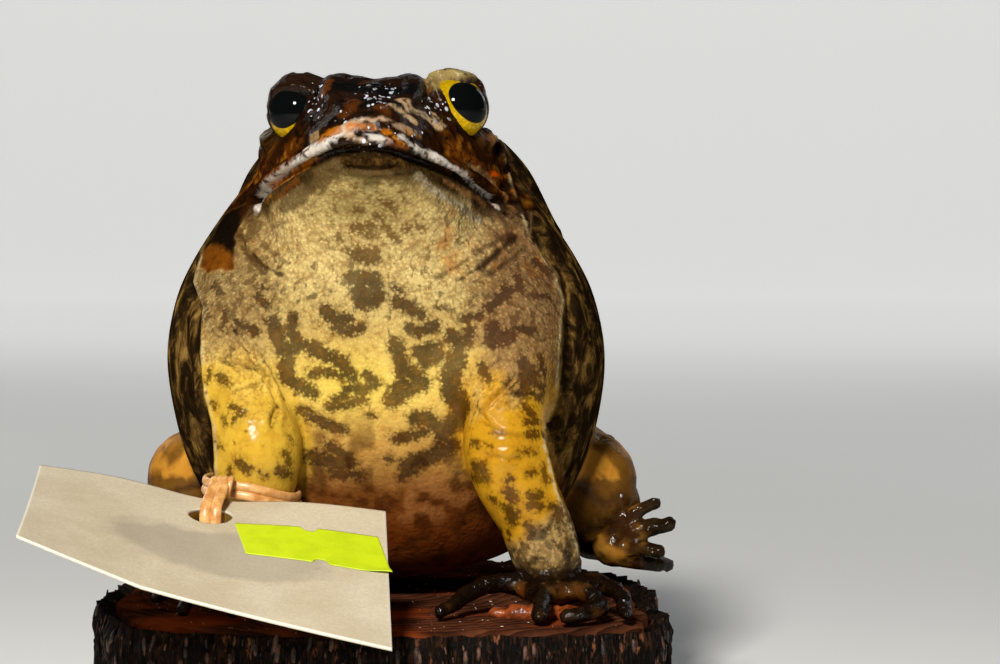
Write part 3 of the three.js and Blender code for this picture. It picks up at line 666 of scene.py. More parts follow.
def webShape(first, second, flip):
    steps, across = 12, 7
    grid = []
    for i in range(steps + 1):
        t = legs["webReach"] * i / steps
        a, b = rowAt(first, t)[0, :3], rowAt(second, t)[0, :3]
        row = []
        for f in np.linspace(0, 1, across):
            p = a + (b - a) * f
            p = p + (np.array(first[0][:3]) - p) * 0.16 * (i / steps) * 4 * f * (1 - f)
            row.append((p[0] * flip, p[1], p[2] + logTop))
        grid.append(row)
    grid = np.array(grid)
    thick = np.array([0, 0, legs["webThickness"] / 2])
    return plate(grid + thick, grid - thick)


def plate(top, bottom):
    # closed plate between two grids of points
    rows, columns = top.shape[:2]
    points = np.vstack([top.reshape(-1, 3), bottom.reshape(-1, 3)])
    up = lambda r, c: r * columns + c
    down = lambda r, c: rows * columns + up(r, c)
    faces, last = [], columns - 1
    for r in range(rows - 1):
        for c in range(columns - 1):
            faces.append((up(r, c), up(r + 1, c), up(r + 1, c + 1), up(r, c + 1)))
            faces.append((down(r, c), down(r, c + 1), down(r + 1, c + 1), down(r + 1, c)))
        faces.append((up(r, 0), down(r, 0), down(r + 1, 0), up(r + 1, 0)))
        faces.append((up(r, last), up(r + 1, last), down(r + 1, last), down(r, last)))
    for c in range(columns - 1):
        faces.append((up(0, c), up(0, c + 1), down(0, c + 1), down(0, c)))
        faces.append((up(rows - 1, c), down(rows - 1, c), down(rows - 1, c + 1), up(rows - 1, c + 1)))
    return points, faces


skin = {
    "voxel": 0.40,
    "relaxRounds": 3,
    "chestRounds": 45,
    "triangles": 192000,
    "coarseLevels": 9,
}
brow = {  # bony crests of the head: ahead, aside, up and radius
    "canthus": [(25.6, 3.2, 6.4, 1.2), (21, 5.6, 9.8, 1.7), (16.6, 6.0, 12.8, 2.3), (12, 5.4, 14.2, 3.1),
                (6, 6.9, 13.8, 3.2), (2, 11.4, 12.6, 2.2), (0.6, 15.0, 10.2, 1.5)],
    "behindEye": [(12.6, 14.9, 6.8, 1.2), (7.4, 16, 8.4, 1.2), (3.4, 15.8, 11.4, 1.2)],
    "tympanum": (2.6, 17.9, 7.6),
}


def skinShapes():
    shapes = [trunkShape(), headShape(True), headShape(False)]
    for flip in (1, -1):
        shapes.append(parotoidShape(flip))
        orbit = eyeCentre(flip) + np.array(eyes["orbitShift"]) * [flip, 1, 1]
        shapes.append(egg(orbit, [eyes["orbit"]] * 3, 48, 32))
        shapes += [headRidge(brow[name], flip) for name in ("canthus", "behindEye")]
        a, b, c = brow["tympanum"]
        shapes.append(egg(inHead(a, flip * (b if flip > 0 else b - 0.7), c), (1.0, 2.5, 2.7)))
        shapes += [limb(arms["upper"], flip, 40, 40), limb(arms[flip], flip, 40, 50)]
        wrist = arms[flip][-1]
        shapes.append(egg((flip * (wrist[0] + 0.3), palm["ahead"], palm["up"] + logTop),
                          (palm["width"], palm["length"], palm["thickness"])))
        shapes += [limb(rows, flip, 20, 40) for rows in fingers[flip]]
        for name, sides in (("thigh", 44), ("shank", 36), ("tarsus", 28)):
            shapes.append(limb(legs[name], flip, sides, 36))
        shapes += [limb(rows, flip, 18, 36) for rows in legs["toes"]]
        shapes += [webShape(legs["toes"][i], legs["toes"][i + 1], flip) for i in range(4)]
    return shapes


def fieldNoise(co, size, seed=0):
    # smooth noise from -1 to 1 with humps about the given size
    place = co / size + 100.0
    cell = np.floor(place).astype(np.int64)
    f = place - cell
    f = f * f * f * (f * (f * 6 - 15) + 10)
    total = np.zeros(len(co))
    for corner in np.ndindex(2, 2, 2):
        whole = cell + corner
        n = (whole[:, 0] * 73856093) ^ (whole[:, 1] * 19349663) ^ (whole[:, 2] * 83492791)
        n = (n ^ (seed * 2654435761)) & 0xFFFFFFFF
        n = ((n ^ (n >> 15)) * 2246822519) & 0xFFFFFFFF
        n = ((n ^ (n >> 13)) * 3266489917) & 0xFFFFFFFF
        value = ((n ^ (n >> 16)) & 0xFFFF) / 32767.5 - 1
        near = np.where(corner, f, 1 - f)
        total += value * near[:, 0] * near[:, 1] * near[:, 2]
    return total


lips = {  # heights from the line of the mouth, widths and how far they stand out
    "slit": (-0.3, 0.45, -1.2),
    "rim": (0.9, 0.7, 0.55),
    "overRim": (2.5, 0.6, -0.35),
    "jawRim": (-1.5, 0.7, 0.25),
}
nostrils = {"place": (26.5, 2.3, 6.2), "rim": 1.3, "pit": 0.5, "rimOut": 0.35, "pitIn": -0.9}
lids = {"hollow": 4.3, "rimWidth": 9, "rimOut": {1: 0.55, -1: 0.3}, "near": 8.5, "rimReach": 6.8,
        "thinReach": 7}


def eyeFrame(flip):
    gaze = unit(eyes["gaze"][flip])
    outward = unit(np.cross(gaze, [0, 0, 1])) * -flip
    outward = outward if outward[0] * flip > 0 else -outward
    over = unit(np.cross(gaze, outward))
    return gaze, outward, over * (1 if over[2] > 0 else -1)


def lidEdge(flip):
    # the opening's edge: turn from outwards to upwards, and reach from where the eye looks, in degrees
    gaze, outward, up = eyeFrame(flip)
    part, *places = lidEdges[flip]
    away = np.array(view["place"]) - eyeCentre(flip)
    bearings, reaches = [], []
    for x, y in places:
        way = sightLine(part, x, y)
        middle = away @ way
        depth = math.sqrt(max(0, middle**2 - away @ away + eyes["radius"] ** 2))
        spot = unit(away - way * (middle + depth))
        bearings.append(math.degrees(math.atan2(spot @ up, spot @ outward)))
        reaches.append(math.degrees(math.acos(np.clip(spot @ gaze, -1, 1))))
    return bearings, reaches


def openEyes(co):
    # sink the skin under each eyeball where the lids are open, and raise the lids' rims
    for flip in (1, -1):
        gaze, outward, up = eyeFrame(flip)
        away = co - eyeCentre(flip)
        reach = np.linalg.norm(away, axis=1)
        near = reach < lids["near"]
        way = away[near] / reach[near, None]
        fromGaze = np.degrees(np.arccos(np.clip(way @ gaze, -1, 1)))
        side, rise = way @ outward, way @ up
        opening = np.interp(np.degrees(np.arctan2(rise, side)), *lidEdge(flip), period=360)
        inside = eased(opening - fromGaze, -2, 4)
        rim = hump(fromGaze - opening - lids["rimWidth"] * 0.7, lids["rimWidth"]) * (1 - inside)
        r = reach[near]
        r = r + (lids["hollow"] - r) * inside
        r = r + rim * lids["rimOut"][flip] * np.clip(0.45 + rise, 0.1, 1.1) * (r < lids["rimReach"])
        thin = eased(side, 0.1, 0.5) * eased(rise, 0.62, 0.25) * (1 - inside)
        thin = thin * eased(fromGaze, opening + 50, opening + 25)
        r = r - np.maximum(0, r - eyes["radius"] - 0.2) * thin * (r < lids["thinReach"])
        co[near] = eyeCentre(flip) + way * r[:, None]
    return co


swellings = {  # aside, back, height, how far they stand out, and width
    "behindEye": (16.6, -2, 69, 0.7, 2.0),
    "belowMouth": (20.6, 4.6, 54.4, 0.9, 2.4),
}
relief = {  # height and size of the unevenness of the head's skin
    "lipLine": (0.25, 3.0), "lumps": (0.26, 2.2), "wrinkles": (0.2, 1.15),
    "crownRidge": (0.35, 1.8), "crownDip": (0.3, 1.8), "snoutLip": (0.5, 1.6),
}


def shapeHead(co, out):
    a, b, c = headPlace(co)
    along = eased(a, -1.2, 2.0) * (1 - eased(np.abs(b), 18.8, 20.6))
    height, size = relief["lipLine"]
    wobble = height * fieldNoise(co, size, 5)
    lift = np.zeros(len(co))
    for name, (height, width, depth) in lips.items():
        lift += depth * hump(c - height - wobble * (name != "slit"), width) * along
    # wrinkled, lumpy skin above the mouth
    rough = eased(c, -0.4, 1.2) * eased(a, -6, 2) * (1 - eased(np.abs(b), 18.8, 21))
    rough *= 1 - 0.55 * eased(c, 10, 13) * (np.abs(b) < 8)
    (lumpy, wide), (wrinkled, fine) = relief["lumps"], relief["wrinkles"]
    lift += rough * (lumpy * fieldNoise(co, wide, 6) + wrinkled * fieldNoise(co * [1, 1, 1.4], fine, 7))
    # the crown dips between its crests
    crown = eased(c, 11, 14) * eased(a, -4, 1) * (1 - eased(a, 15, 20))
    (ridge, wide), (dip, narrow) = relief["crownRidge"], relief["crownDip"]
    lift += crown * (ridge * hump(np.abs(b) - 3.4, wide) - dip * hump(b, narrow))
    # the lip swells in the middle of the snout
    swell, wide = relief["snoutLip"]
    lift += swell * hump(c - 2.6, wide) * eased(a, 20, 26)
    x, y, z = nostrils["place"]
    for flip in (1, -1):
        d = np.linalg.norm(co - inHead(x, flip * y, z), axis=1)
        lift += nostrils["rimOut"] * hump(d, nostrils["rim"]) + nostrils["pitIn"] * hump(d, nostrils["pit"])
        for aside, back, height, rise, width in swellings.values():
            lift += rise * hump(np.linalg.norm(co - [flip * aside, back, height + logTop], axis=1), width)
    return co + out * lift[:, None]


def backness(co):
    # 0 on throat, chest and belly, 1 on the back and flanks
    y, z = co[:, 1], co[:, 2] - logTop
    edge = np.interp(z, [0, 20, 40, 52, 60, 80], [4, 1, -2, 0, 4, 4])
    return eased(y - edge + 2.0 * fieldNoise(co, 6, 3), -3, 5)


warts = {"count": 560, "smallest": 0.6, "largest": 2.1, "height": 0.62, "slope": 0.72, "reach": 2.2,
         "spacing": 0.9, "compared": 160, "seed": 11}


def raiseWarts(co, out):
    # gives back the points, and each wart's top and size
    dice = np.random.default_rng(warts["seed"])
    share = backness(co) * eased(co[:, 2] - logTop, 4, 10) * eased(co[:, 1], 18, 26)
    a, b, c = headPlace(co)
    share = share * (1 - eased(a, -4, 4) * (c > 0))
    candidates = np.flatnonzero(share > 0.5)
    tree = kdtree.KDTree(len(co))
    for i, p in enumerate(co):
        tree.insert(p, i)
    tree.balance()
    lift = np.zeros(len(co))
    taken, tops = [], []
    for i in dice.permutation(candidates):
        if len(taken) >= warts["count"]:
            break
        size = warts["smallest"] + (warts["largest"] - warts["smallest"]) * dice.random() ** 2.2
        if any((co[i] - p) @ (co[i] - p) < (warts["spacing"] * (size + q)) ** 2
               for p, q in taken[-warts["compared"]:]):
            continue
        taken.append((co[i], size))
        tops.append((co[i] + out[i] * warts["height"] * size, size))
        for _, index, distance in tree.find_range(co[i], size * warts["reach"]):
            swell = warts["height"] * size * math.exp(-(distance / (warts["slope"] * size)) ** 2)
            lift[index] = max(lift[index], swell)
    return co + out * lift[:, None], tops


# marks, folds and strokes of colour, read off the photograph: each row has its width and strength,
# then its points, in pixels of an enlarged part of the photograph

enlarged = {  # left edge, top edge and scale of each part
    "torso": (170, 230, 3.4),
    "head": (235, 55, 5.0),
    "wrist": (400, 420, 5.0),
    "leftEye": (349.2, 62, 12),
    "rightEye": (258, 68, 12),
}
photograph = {"width": 1000, "height": 664, "pixelsPerMm": 6.9}

marks = {
    "torso": [  # throat, chest, belly, shoulders and arms
        (60, 0.55, (640, 85), (690, 90)), (46, 1, (618, 165), (690, 170), (705, 225)),
        (44, 1, (640, 200), (650, 245), (690, 240)), (36, 0.95, (770, 245), (815, 262), (850, 285)),
        (26, 0.6, (760, 195), (780, 205)), (40, 0.9, (530, 275), (560, 310), (600, 300)),
        (34, 0.75, (560, 330), (610, 345), (650, 335)), (34, 0.95, (812, 335), (850, 345), (900, 325)),
        (44, 1, (850, 415), (895, 405), (905, 430)), (40, 1, (870, 445), (885, 400)),
        (44, 0.9, (350, 310), (365, 360), (385, 400), (430, 395)),
        (34, 0.85, (420, 300), (410, 350), (440, 385), (500, 405)),
        (38, 0.9, (470, 400), (540, 430), (585, 450), (605, 485)),
        (44, 0.85, (400, 430), (392, 490), (430, 530), (480, 548)),
        (36, 0.5, (480, 490), (540, 480), (600, 500)),
        (36, 0.6, (610, 540), (660, 545), (700, 520), (670, 490)), (30, 0.6, (620, 500), (640, 530)),
        (44, 0.8, (765, 385), (780, 430), (790, 470)), (50, 0.8, (790, 480), (830, 490), (860, 520)),
        (48, 0.7, (840, 530), (790, 560), (755, 580)), (44, 0.7, (800, 520), (770, 540)),
        (30, 1, (1022, 345), (1012, 380)), (40, 0.9, (955, 360), (985, 390), (975, 450)),
        (56, 0.95, (975, 440), (950, 500), (960, 560)), (58, 0.95, (960, 560), (1000, 600), (985, 640)),
        (46, 0.9, (985, 640), (945, 670), (925, 700)), (44, 0.8, (830, 640), (880, 640), (905, 675)),
        (34, 0.75, (860, 690), (810, 700), (770, 712)), (34, 0.6, (540, 600), (600, 595), (655, 575)),
        (30, 0.55, (560, 575), (590, 565)), (22, 0.6, (675, 630), (690, 632)),
        (30, 0.8, (440, 610), (490, 640), (540, 665), (590, 680)),
        (42, 0.85, (480, 770), (530, 785), (580, 800)), (34, 0.75, (540, 730), (590, 765), (620, 800)),
        (34, 0.7, (560, 825), (640, 835)), (24, 0.7, (740, 770), (745, 780)),
        (46, 0.75, (800, 800), (840, 780), (900, 765), (960, 735)), (36, 0.7, (830, 820), (790, 835)),
        (44, 0.75, (1085, 265), (1120, 235), (1150, 200)),
        (50, 0.8, (1100, 335), (1095, 375), (1150, 360)), (36, 0.6, (1180, 335), (1235, 345)),
        (34, 0.6, (1225, 225), (1290, 230)), (40, 0.6, (1245, 110), (1290, 150)),
        (34, 0.7, (1180, 160), (1190, 200)), (34, 0.6, (1060, 460), (1085, 510)),
        (46, 0.85, (1205, 455), (1235, 490), (1200, 530)), (36, 0.7, (1260, 440), (1270, 480)),
        (30, 0.5, (1150, 510), (1180, 560)), (28, 0.7, (150, 185), (175, 215)),
        (36, 0.6, (225, 310), (290, 345)), (30, 0.45, (190, 280), (180, 330)),
        (34, 0.6, (300, 225), (330, 260)), (24, 0.5, (330, 200), (300, 190)),
        (26, 0.5, (120, 260), (130, 300)), (18, 0.35, (355, 90), (370, 130)),
        (36, 0.6, (1000, 300), (1050, 290)), (24, 0.35, (900, 260), (960, 270)),
        (36, 0.75, (628, -8), (645, -4)), (34, 0.75, (676, -14), (690, -8)),
        (34, 0.7, (664, 10), (678, 16)), (32, 0.65, (738, -84), (768, -66)),
        (28, 0.65, (730, -16), (738, -6)), (28, 0.6, (640, -70), (652, -62)),
        (32, 0.65, (570, 26), (582, 32)), (32, 0.65, (600, 66), (612, 72)), (30, 0.6, (800, -4), (812, 2)),
        (28, 0.55, (842, -14), (852, -8)), (30, 0.6, (760, 24), (772, 32)),
        (28, 0.6, (700, -50), (716, -36)), (26, 0.9, (165, 495), (190, 515)),
        (16, 0.7, (205, 520), (200, 530)), (22, 0.7, (205, 600), (245, 620), (215, 650)),
        (20, 0.7, (135, 480), (130, 520)), (18, 0.7, (150, 585), (155, 600)),
        (18, 0.6, (180, 640), (190, 660)), (14, 0.6, (345, 620), (350, 660)),
        (26, 0.9, (395, 760), (410, 790)), (28, 0.8, (235, 790), (265, 815)),
        (20, 0.7, (205, 810), (200, 835)), (26, 0.9, (375, 820), (405, 830)),
        (18, 0.7, (310, 825), (330, 835)), (18, 0.6, (160, 720), (175, 740)),
        (16, 0.6, (400, 700), (415, 720)), (26, 0.8, (1225, 690), (1270, 700)),
        (26, 0.8, (1205, 600), (1240, 640)), (30, 0.8, (1190, 560), (1260, 570)),
        (30, 0.8, (1230, 520), (1270, 540)), (12, 0.5, (1100, 690), (1130, 695)),
        (16, 0.6, (1190, 760), (1240, 755)),
    ],
    "wrist": [
        (48, 1, (375, 235), (415, 250), (420, 285)), (34, 0.95, (360, 285), (400, 290)),
        (50, 0.95, (550, 365), (560, 385)), (52, 1, (540, 445), (565, 470), (560, 500)),
        (42, 0.85, (655, 385), (700, 375)), (40, 0.85, (650, 425), (700, 430)),
        (26, 0.7, (535, 290), (560, 300)), (34, 0.6, (640, 270), (680, 265)),
        (40, 0.8, (650, 75), (710, 70)), (36, 0.8, (630, 10), (690, 5)), (26, 0.6, (595, 165), (640, 150)),
        (30, 0.8, (360, 110), (390, 125)), (14, 0.6, (430, 120), (450, 130)),
        (14, 0.6, (480, 70), (495, 80)), (40, 0.7, (720, 240), (730, 300)),
        (30, 0.9, (630, 520), (660, 545), (650, 590)), (40, 0.8, (760, 430), (800, 450), (790, 500)),
        (40, 0.85, (830, 480), (850, 540), (880, 590)), (34, 0.8, (790, 520), (800, 560)),
        (20, 0.6, (700, 530), (730, 560)), (30, 0.7, (760, 600), (800, 640)),
        (20, 0.6, (640, 640), (600, 660)), (18, 0.6, (690, 690), (740, 700)),
        (26, 0.8, (820, 660), (870, 680)), (26, 0.6, (540, 560), (545, 600)),
        (14, 0.6, (610, 620), (640, 635)), (50, 0.9, (590, 700), (640, 740)),
        (40, 0.9, (740, 770), (820, 750), (880, 700)), (30, 0.9, (455, 390), (475, 410)),
        (20, 0.7, (500, 540), (510, 590)),
    ],
}
headStrokes = {
    "head": [  # each with its shade before it
        ("snout", 170, 1, (440, 150), (560, 160), (720, 170), (860, 170)),
        ("snout", 110, 0.9, (560, 250), (700, 230), (820, 250)),
        ("brown", 50, 0.8, (470, 110), (440, 180), (380, 290)),
        ("brown", 110, 0.9, (330, 330), (200, 500), (90, 680), (60, 760)),
        ("brown", 60, 0.85, (960, 130), (1010, 230), (1080, 350), (1200, 460), (1320, 560)),
        ("rust", 26, 0.6, (480, 120), (440, 200)), ("rust", 50, 0.45, (590, 240), (560, 290)),
        ("rust", 44, 0.4, (730, 260), (760, 280)), ("rust", 16, 0.3, (640, 140), (660, 130)),
        ("buff", 34, 0.9, (935, 100), (955, 130)), ("rust", 16, 0.5, (970, 150), (980, 200)),
        ("pale", 34, 0.95, (780, 250), (850, 300), (900, 330)),
        ("pale", 36, 0.9, (830, 235), (880, 270), (950, 300), (1030, 360)),
        ("pale", 24, 0.8, (860, 230), (820, 225)), ("pale", 30, 0.8, (990, 300), (1040, 350)),
        ("black", 8, 0.8, (820, 250), (870, 290)), ("black", 8, 0.7, (900, 270), (960, 310)),
        ("rust", 40, 0.85, (150, 640), (240, 570), (360, 480), (450, 420)),
        ("lipPale", 34, 0.95, (110, 770), (145, 700), (180, 640), (260, 580), (350, 510)),
        ("lipPale", 42, 0.95, (350, 505), (430, 460), (520, 400), (580, 370)),
        ("buff", 36, 0.8, (380, 420), (410, 395)), ("orange", 22, 0.8, (430, 430), (480, 395), (520, 370)),
        ("orange", 22, 0.85, (190, 680), (260, 620), (340, 560), (430, 500)),
        ("ochre", 18, 0.6, (150, 740), (180, 700)),
        ("lipPink", 26, 0.85, (540, 350), (620, 330), (700, 320), (780, 330)),
        ("orange", 22, 0.85, (570, 360), (640, 360), (700, 372)),
        ("lipPink", 30, 0.85, (560, 400), (620, 420), (650, 430)),
        ("lipPale", 30, 0.8, (660, 400), (720, 410), (760, 430)),
        ("orange", 22, 0.8, (750, 385), (820, 430), (860, 450)), ("rust", 24, 0.7, (760, 440), (810, 455)),
        ("lipPink", 22, 0.6, (760, 340), (850, 370), (900, 390)),
        ("ochre", 18, 0.7, (860, 380), (920, 410)),
        ("lipPale", 24, 0.9, (830, 410), (900, 460), (960, 495), (1020, 520)),
        ("lipPale", 20, 0.9, (1000, 505), (1080, 560), (1150, 600)),
        ("lipPale", 16, 0.9, (1130, 595), (1200, 650), (1260, 700), (1310, 760)),
        ("black", 8, 0.9, (820, 425), (900, 480), (1000, 540), (1100, 600), (1200, 670), (1290, 760)),
        ("black", 10, 0.6, (930, 440), (1020, 490), (1090, 530)),
        ("brown", 30, 0.6, (900, 420), (1000, 470), (1100, 520)),
        ("rust", 36, 0.7, (1080, 470), (1180, 530), (1260, 590)),
        ("buff", 30, 0.6, (1170, 560), (1250, 600), (1300, 650)),
        ("ember", 30, 1, (1280, 590), (1320, 600), (1330, 615)),
        ("rustPale", 34, 0.8, (1290, 640), (1350, 700), (1385, 770)),
        ("black", 10, 0.8, (200, 590), (225, 600)), ("black", 8, 0.8, (115, 760), (135, 740)),
        ("black", 8, 0.5, (640, 400), (660, 420)), ("black", 10, 0.5, (530, 330), (600, 310)),
        # dark under the lip: partly the chin's own dark colour, partly painted shadow of the overhanging lip
        ("underlip", 70, 0.95, (500, 500), (600, 530), (700, 540), (800, 530), (870, 510)),
        ("underlip", 26, 0.85, (480, 480), (420, 530), (350, 600), (250, 680)),
        ("rust", 20, 0.8, (200, 720), (260, 680), (320, 620)),
        ("black", 8, 0.7, (160, 770), (240, 700), (330, 640)),
        ("greyFold", 66, 0.85, (240, 760), (330, 700), (420, 620), (500, 550)),
        # dark under the lip again: partly its own colour, partly painted shadow
        ("underlip", 30, 0.8, (870, 520), (960, 590), (1060, 650)),
        ("rustPale", 30, 0.7, (1050, 630), (1150, 690), (1250, 740)),
        ("black", 8, 0.6, (980, 560), (1100, 630), (1220, 700)),
        # painted sheen: a pale grey band along the lower lip's edge
        ("greyPale", 34, 0.75, (910, 600), (960, 650), (1060, 720), (1160, 780), (1230, 830)),
        ("greyFold", 24, 0.4, (930, 690), (1040, 770), (1130, 830)),
        ("greenGrey", 40, 0.5, (660, 625), (710, 635)),
        ("greyFold", 52, 0.6, (520, 600), (620, 590), (760, 600), (860, 620)),
        # the darkest fold rows, here and below: painted shade in the folds at and below the jaw's corners
        ("darkFold", 14, 0.9, (1340, 790), (1400, 850)),
        ("rustPale", 60, 0.5, (1300, 900), (1400, 890), (1440, 930)),
        ("darkFold", 16, 0.6, (30, 830), (60, 780), (110, 790)),
        ("greyFold", 41, 0.85, (60, 820), (110, 860), (60, 930)),
        ("black", 22, 0.9, (1300, 392), (1322, 480)),
        ("rustPale", 50, 0.8, (1288, 335), (1306, 385), (1288, 440)),
        # painted sheen: a faint pale grey streak
        ("greyPale", 30, 0.4, (1220, 430), (1260, 400)), ("rustPale", 24, 0.6, (165, 340), (170, 400)),
        ("greyFold", 30, 0.5, (180, 420), (190, 450)),
        ("brown", 40, 0.75, (1395, 915), (1320, 985), (1225, 1060)),
        ("brown", 26, 0.6, (1380, 900), (1250, 960), (1120, 1050), (1000, 1120)),
        ("darkFold", 16, 0.8, (1405, 905), (1340, 960), (1240, 1050), (1110, 1130)),
        ("brown", 40, 0.7, (20, 880), (60, 990), (150, 1080)),
        ("brown", 26, 0.5, (110, 900), (150, 960), (240, 1030)),
        ("darkFold", 16, 0.8, (40, 880), (70, 960), (140, 1050), (230, 1100)),
    ],
}
creases = {
    "torso": [
        (9, 0.75, (222, 342), (262, 400), (300, 470), (345, 540), (368, 600)),
        (8, 0.6, (180, 448), (240, 465), (310, 480), (330, 512)),
        (10, 0.6, (368, 600), (352, 640), (345, 670)), (7, 0.35, (330, 512), (290, 530), (220, 545)),
        (10, 0.9, (1190, 490), (1140, 540), (1090, 585), (1050, 625)),
        (8, 0.4, (1120, 560), (1180, 560), (1250, 555)), (9, 0.5, (1060, 625), (1080, 660)),
        (8, 0.25, (1075, 650), (1120, 690), (1200, 700)), (8, 0.25, (1010, 760), (1100, 770), (1190, 780)),
        (9, 0.25, (440, 600), (520, 640), (600, 690)), (7, 0.25, (370, 240), (450, 330)),
        (8, 0.45, (1210, 60), (1160, 110), (1080, 150)), (8, 0.45, (240, 20), (250, 60), (300, 110)),
    ],
    "head": [
        (12, 0.9, (1350, 790), (1420, 850), (1460, 880)), (9, 0.35, (330, 810), (400, 740), (460, 660)),
        (9, 0.3, (180, 870), (260, 830)), (12, 0.6, (120, 800), (60, 850), (20, 900)),
        (12, 0.45, (500, 545), (600, 565), (700, 572), (800, 560), (880, 540)),
    ],
}
lidEdges = {  # edge of each eye's opening
    1: ("leftEye",
        (1193, 514), (1280, 680), (1326, 762), (1394, 835), (1437, 889), (1479, 888), (1580, 840),
        (1655, 680), (1657, 613), (1651, 524), (1626, 438), (1593, 379), (1549, 314), (1499, 266),
        (1418, 258), (1356, 246), (1276, 223), (1148, 218), (1081, 247), (1073, 292), (1106, 351),
        (1150, 427)),
    -1: ("rightEye",
        (546, 523), (499, 615), (481, 664), (405, 748), (347, 803), (304, 850), (230, 800), (190, 738),
        (156, 657), (138, 563), (145, 467), (189, 353), (267, 284), (331, 277), (405, 277), (465, 285),
        (547, 316), (598, 349), (577, 428)),
}
thinEdges = {
    "torso": [  # outside of the left arm, down and down, of the right arm, and beside the neck
        ((1216, 30), (1262, 90), (1310, 160), (1333, 239), (1322, 401), (1312, 559), (1262, 669)),
        ((1276, 669), (1272, 727), (1286, 783), (1311, 884), (1351, 985), (1382, 1072), (1384, 1134)),
        ((108, 89), (86, 179), (119, 262), (111, 419), (124, 560), (151, 660), (159, 759), (156, 845)),
        ((1116, -335), (1131, -290), (1146, -210), (1167, -136), (1196, -62), (1215, 6)),
    ],
}


sight = unit((-0.052, 0.9968, -0.061))  # about the way the camera looks
casting = {"nearest": 450, "farthest": 520, "around": 8, "step": 0.5, "jump": 9, "depth": 4}


def sightLine(part, x, y):
    # where the camera looks through a point of an enlarged part
    left, top, scale = enlarged[part]
    heading = unit(np.array(view["aim"]) - view["place"])
    across = unit(np.cross(heading, [0, 0, 1]))
    pixel = view["sensor"] / view["lens"] / photograph["width"]
    return unit(heading + (left + x / scale - photograph["width"] / 2) * pixel * across
                + (photograph["height"] / 2 - top - y / scale) * pixel * np.cross(across, heading))


def onSkin(tree, part, x, y, last):
    # the point seen there, or the one nearest to the line of sight where that slips past an edge
    start, way = Vector(view["place"]), Vector(sightLine(part, x, y))
    hit, _, _, far = tree.ray_cast(start, way)
    if hit is None or (last is not None and abs(far - last) > casting["jump"]):
        low, high = casting["nearest"], casting["farthest"]
        if last is not None:
            low, high = last - casting["around"], last + casting["around"]
        found = [(tree.find_nearest(start + way * k), k) for k in np.arange(low, high, casting["step"])]
        (hit, _, _, _), far = min(found, key=lambda one: one[0][3])
    return np.array(hit) - [0, 0, logTop], far


def readOff(body):
    # each row's own values, its width in millimetres, and its line on the skin
    tree = BVHTree.FromObject(body, bpy.context.evaluated_depsgraph_get())
    tables = {"marks": marks, "strokes": headStrokes, "creases": creases, "edges": thinEdges}
    lines = {name: [] for name in tables}
    for name, parts in tables.items():
        for part, row in ((part, row) for part, rows in parts.items() for row in rows):
            line, far = [], None
            for place in (place for place in row if isinstance(place, tuple)):
                spot, far = onSkin(tree, part, *place, far)
                line.append(spot)
            values = [value for value in row if not isinstance(value, tuple)]
            if values:
                values[-2] = round(values[-2] / enlarged[part][2] / photograph["pixelsPerMm"], 2)
            lines[name].append((*values, np.array(line)))
    return lines


def seenGap(place, line):
    # distance from a line as seen from the front, for skin about as deep as the line
    line = np.array(line, float)
    flat = np.eye(3) - np.outer(sight, sight)
    d, along = lineDistance(place @ flat, line @ flat)
    return d + np.maximum(0, np.abs((place - rowAt(line, along)) @ sight) - casting["depth"]), along


creaseForm = {"depth": 1.1, "bank": 0.5, "bankAway": 2.2, "bankWidth": 1.4}
edgeForm = {"out": 0.45, "width": 0.5, "groove": 0.7, "grooveAway": 1.3, "grooveWidth": 0.8}


def pressCreases(co, out, lines):
    # folds of dried skin, and the thin edge that stands along each arm
    place = co - [0, 0, logTop]
    lift = np.zeros(len(co))
    for width, depth, line in lines["creases"]:
        d, along = lineDistance(place, line)
        taper = eased(along, -0.05, 0.2) * eased(1 - along, -0.05, 0.2)
        bank = creaseForm["bank"] * hump(d - width * creaseForm["bankAway"], width * creaseForm["bankWidth"])
        lift += creaseForm["depth"] * depth * taper * (bank - hump(d, width))
    for line, in lines["edges"]:
        d, along = seenGap(place, line)
        flip = 1 if line[0, 0] > 0 else -1
        beyond, _ = seenGap(place, line + [flip * edgeForm["grooveAway"], 0, 0])
        taper = eased(along, 0, 0.08) * eased(1 - along, 0, 0.08)
        groove = edgeForm["groove"] * hump(beyond, edgeForm["grooveWidth"])
        lift += taper * (edgeForm["out"] * hump(d, edgeForm["width"]) - groove)
    # knobbly hands and feet
    x, y, z = place.T
    knobbly = eased(z, 8, 5) * eased(-y, 14, 18)
    knobbly = knobbly + 0.8 * eased(np.abs(x), 33, 36) * eased(z, 14, 11)
    lift += knobbly * (0.22 * fieldNoise(co, 1.5, 61) + 0.1 * fieldNoise(co, 0.7, 62) - 0.08)
    return co + out * lift[:, None]


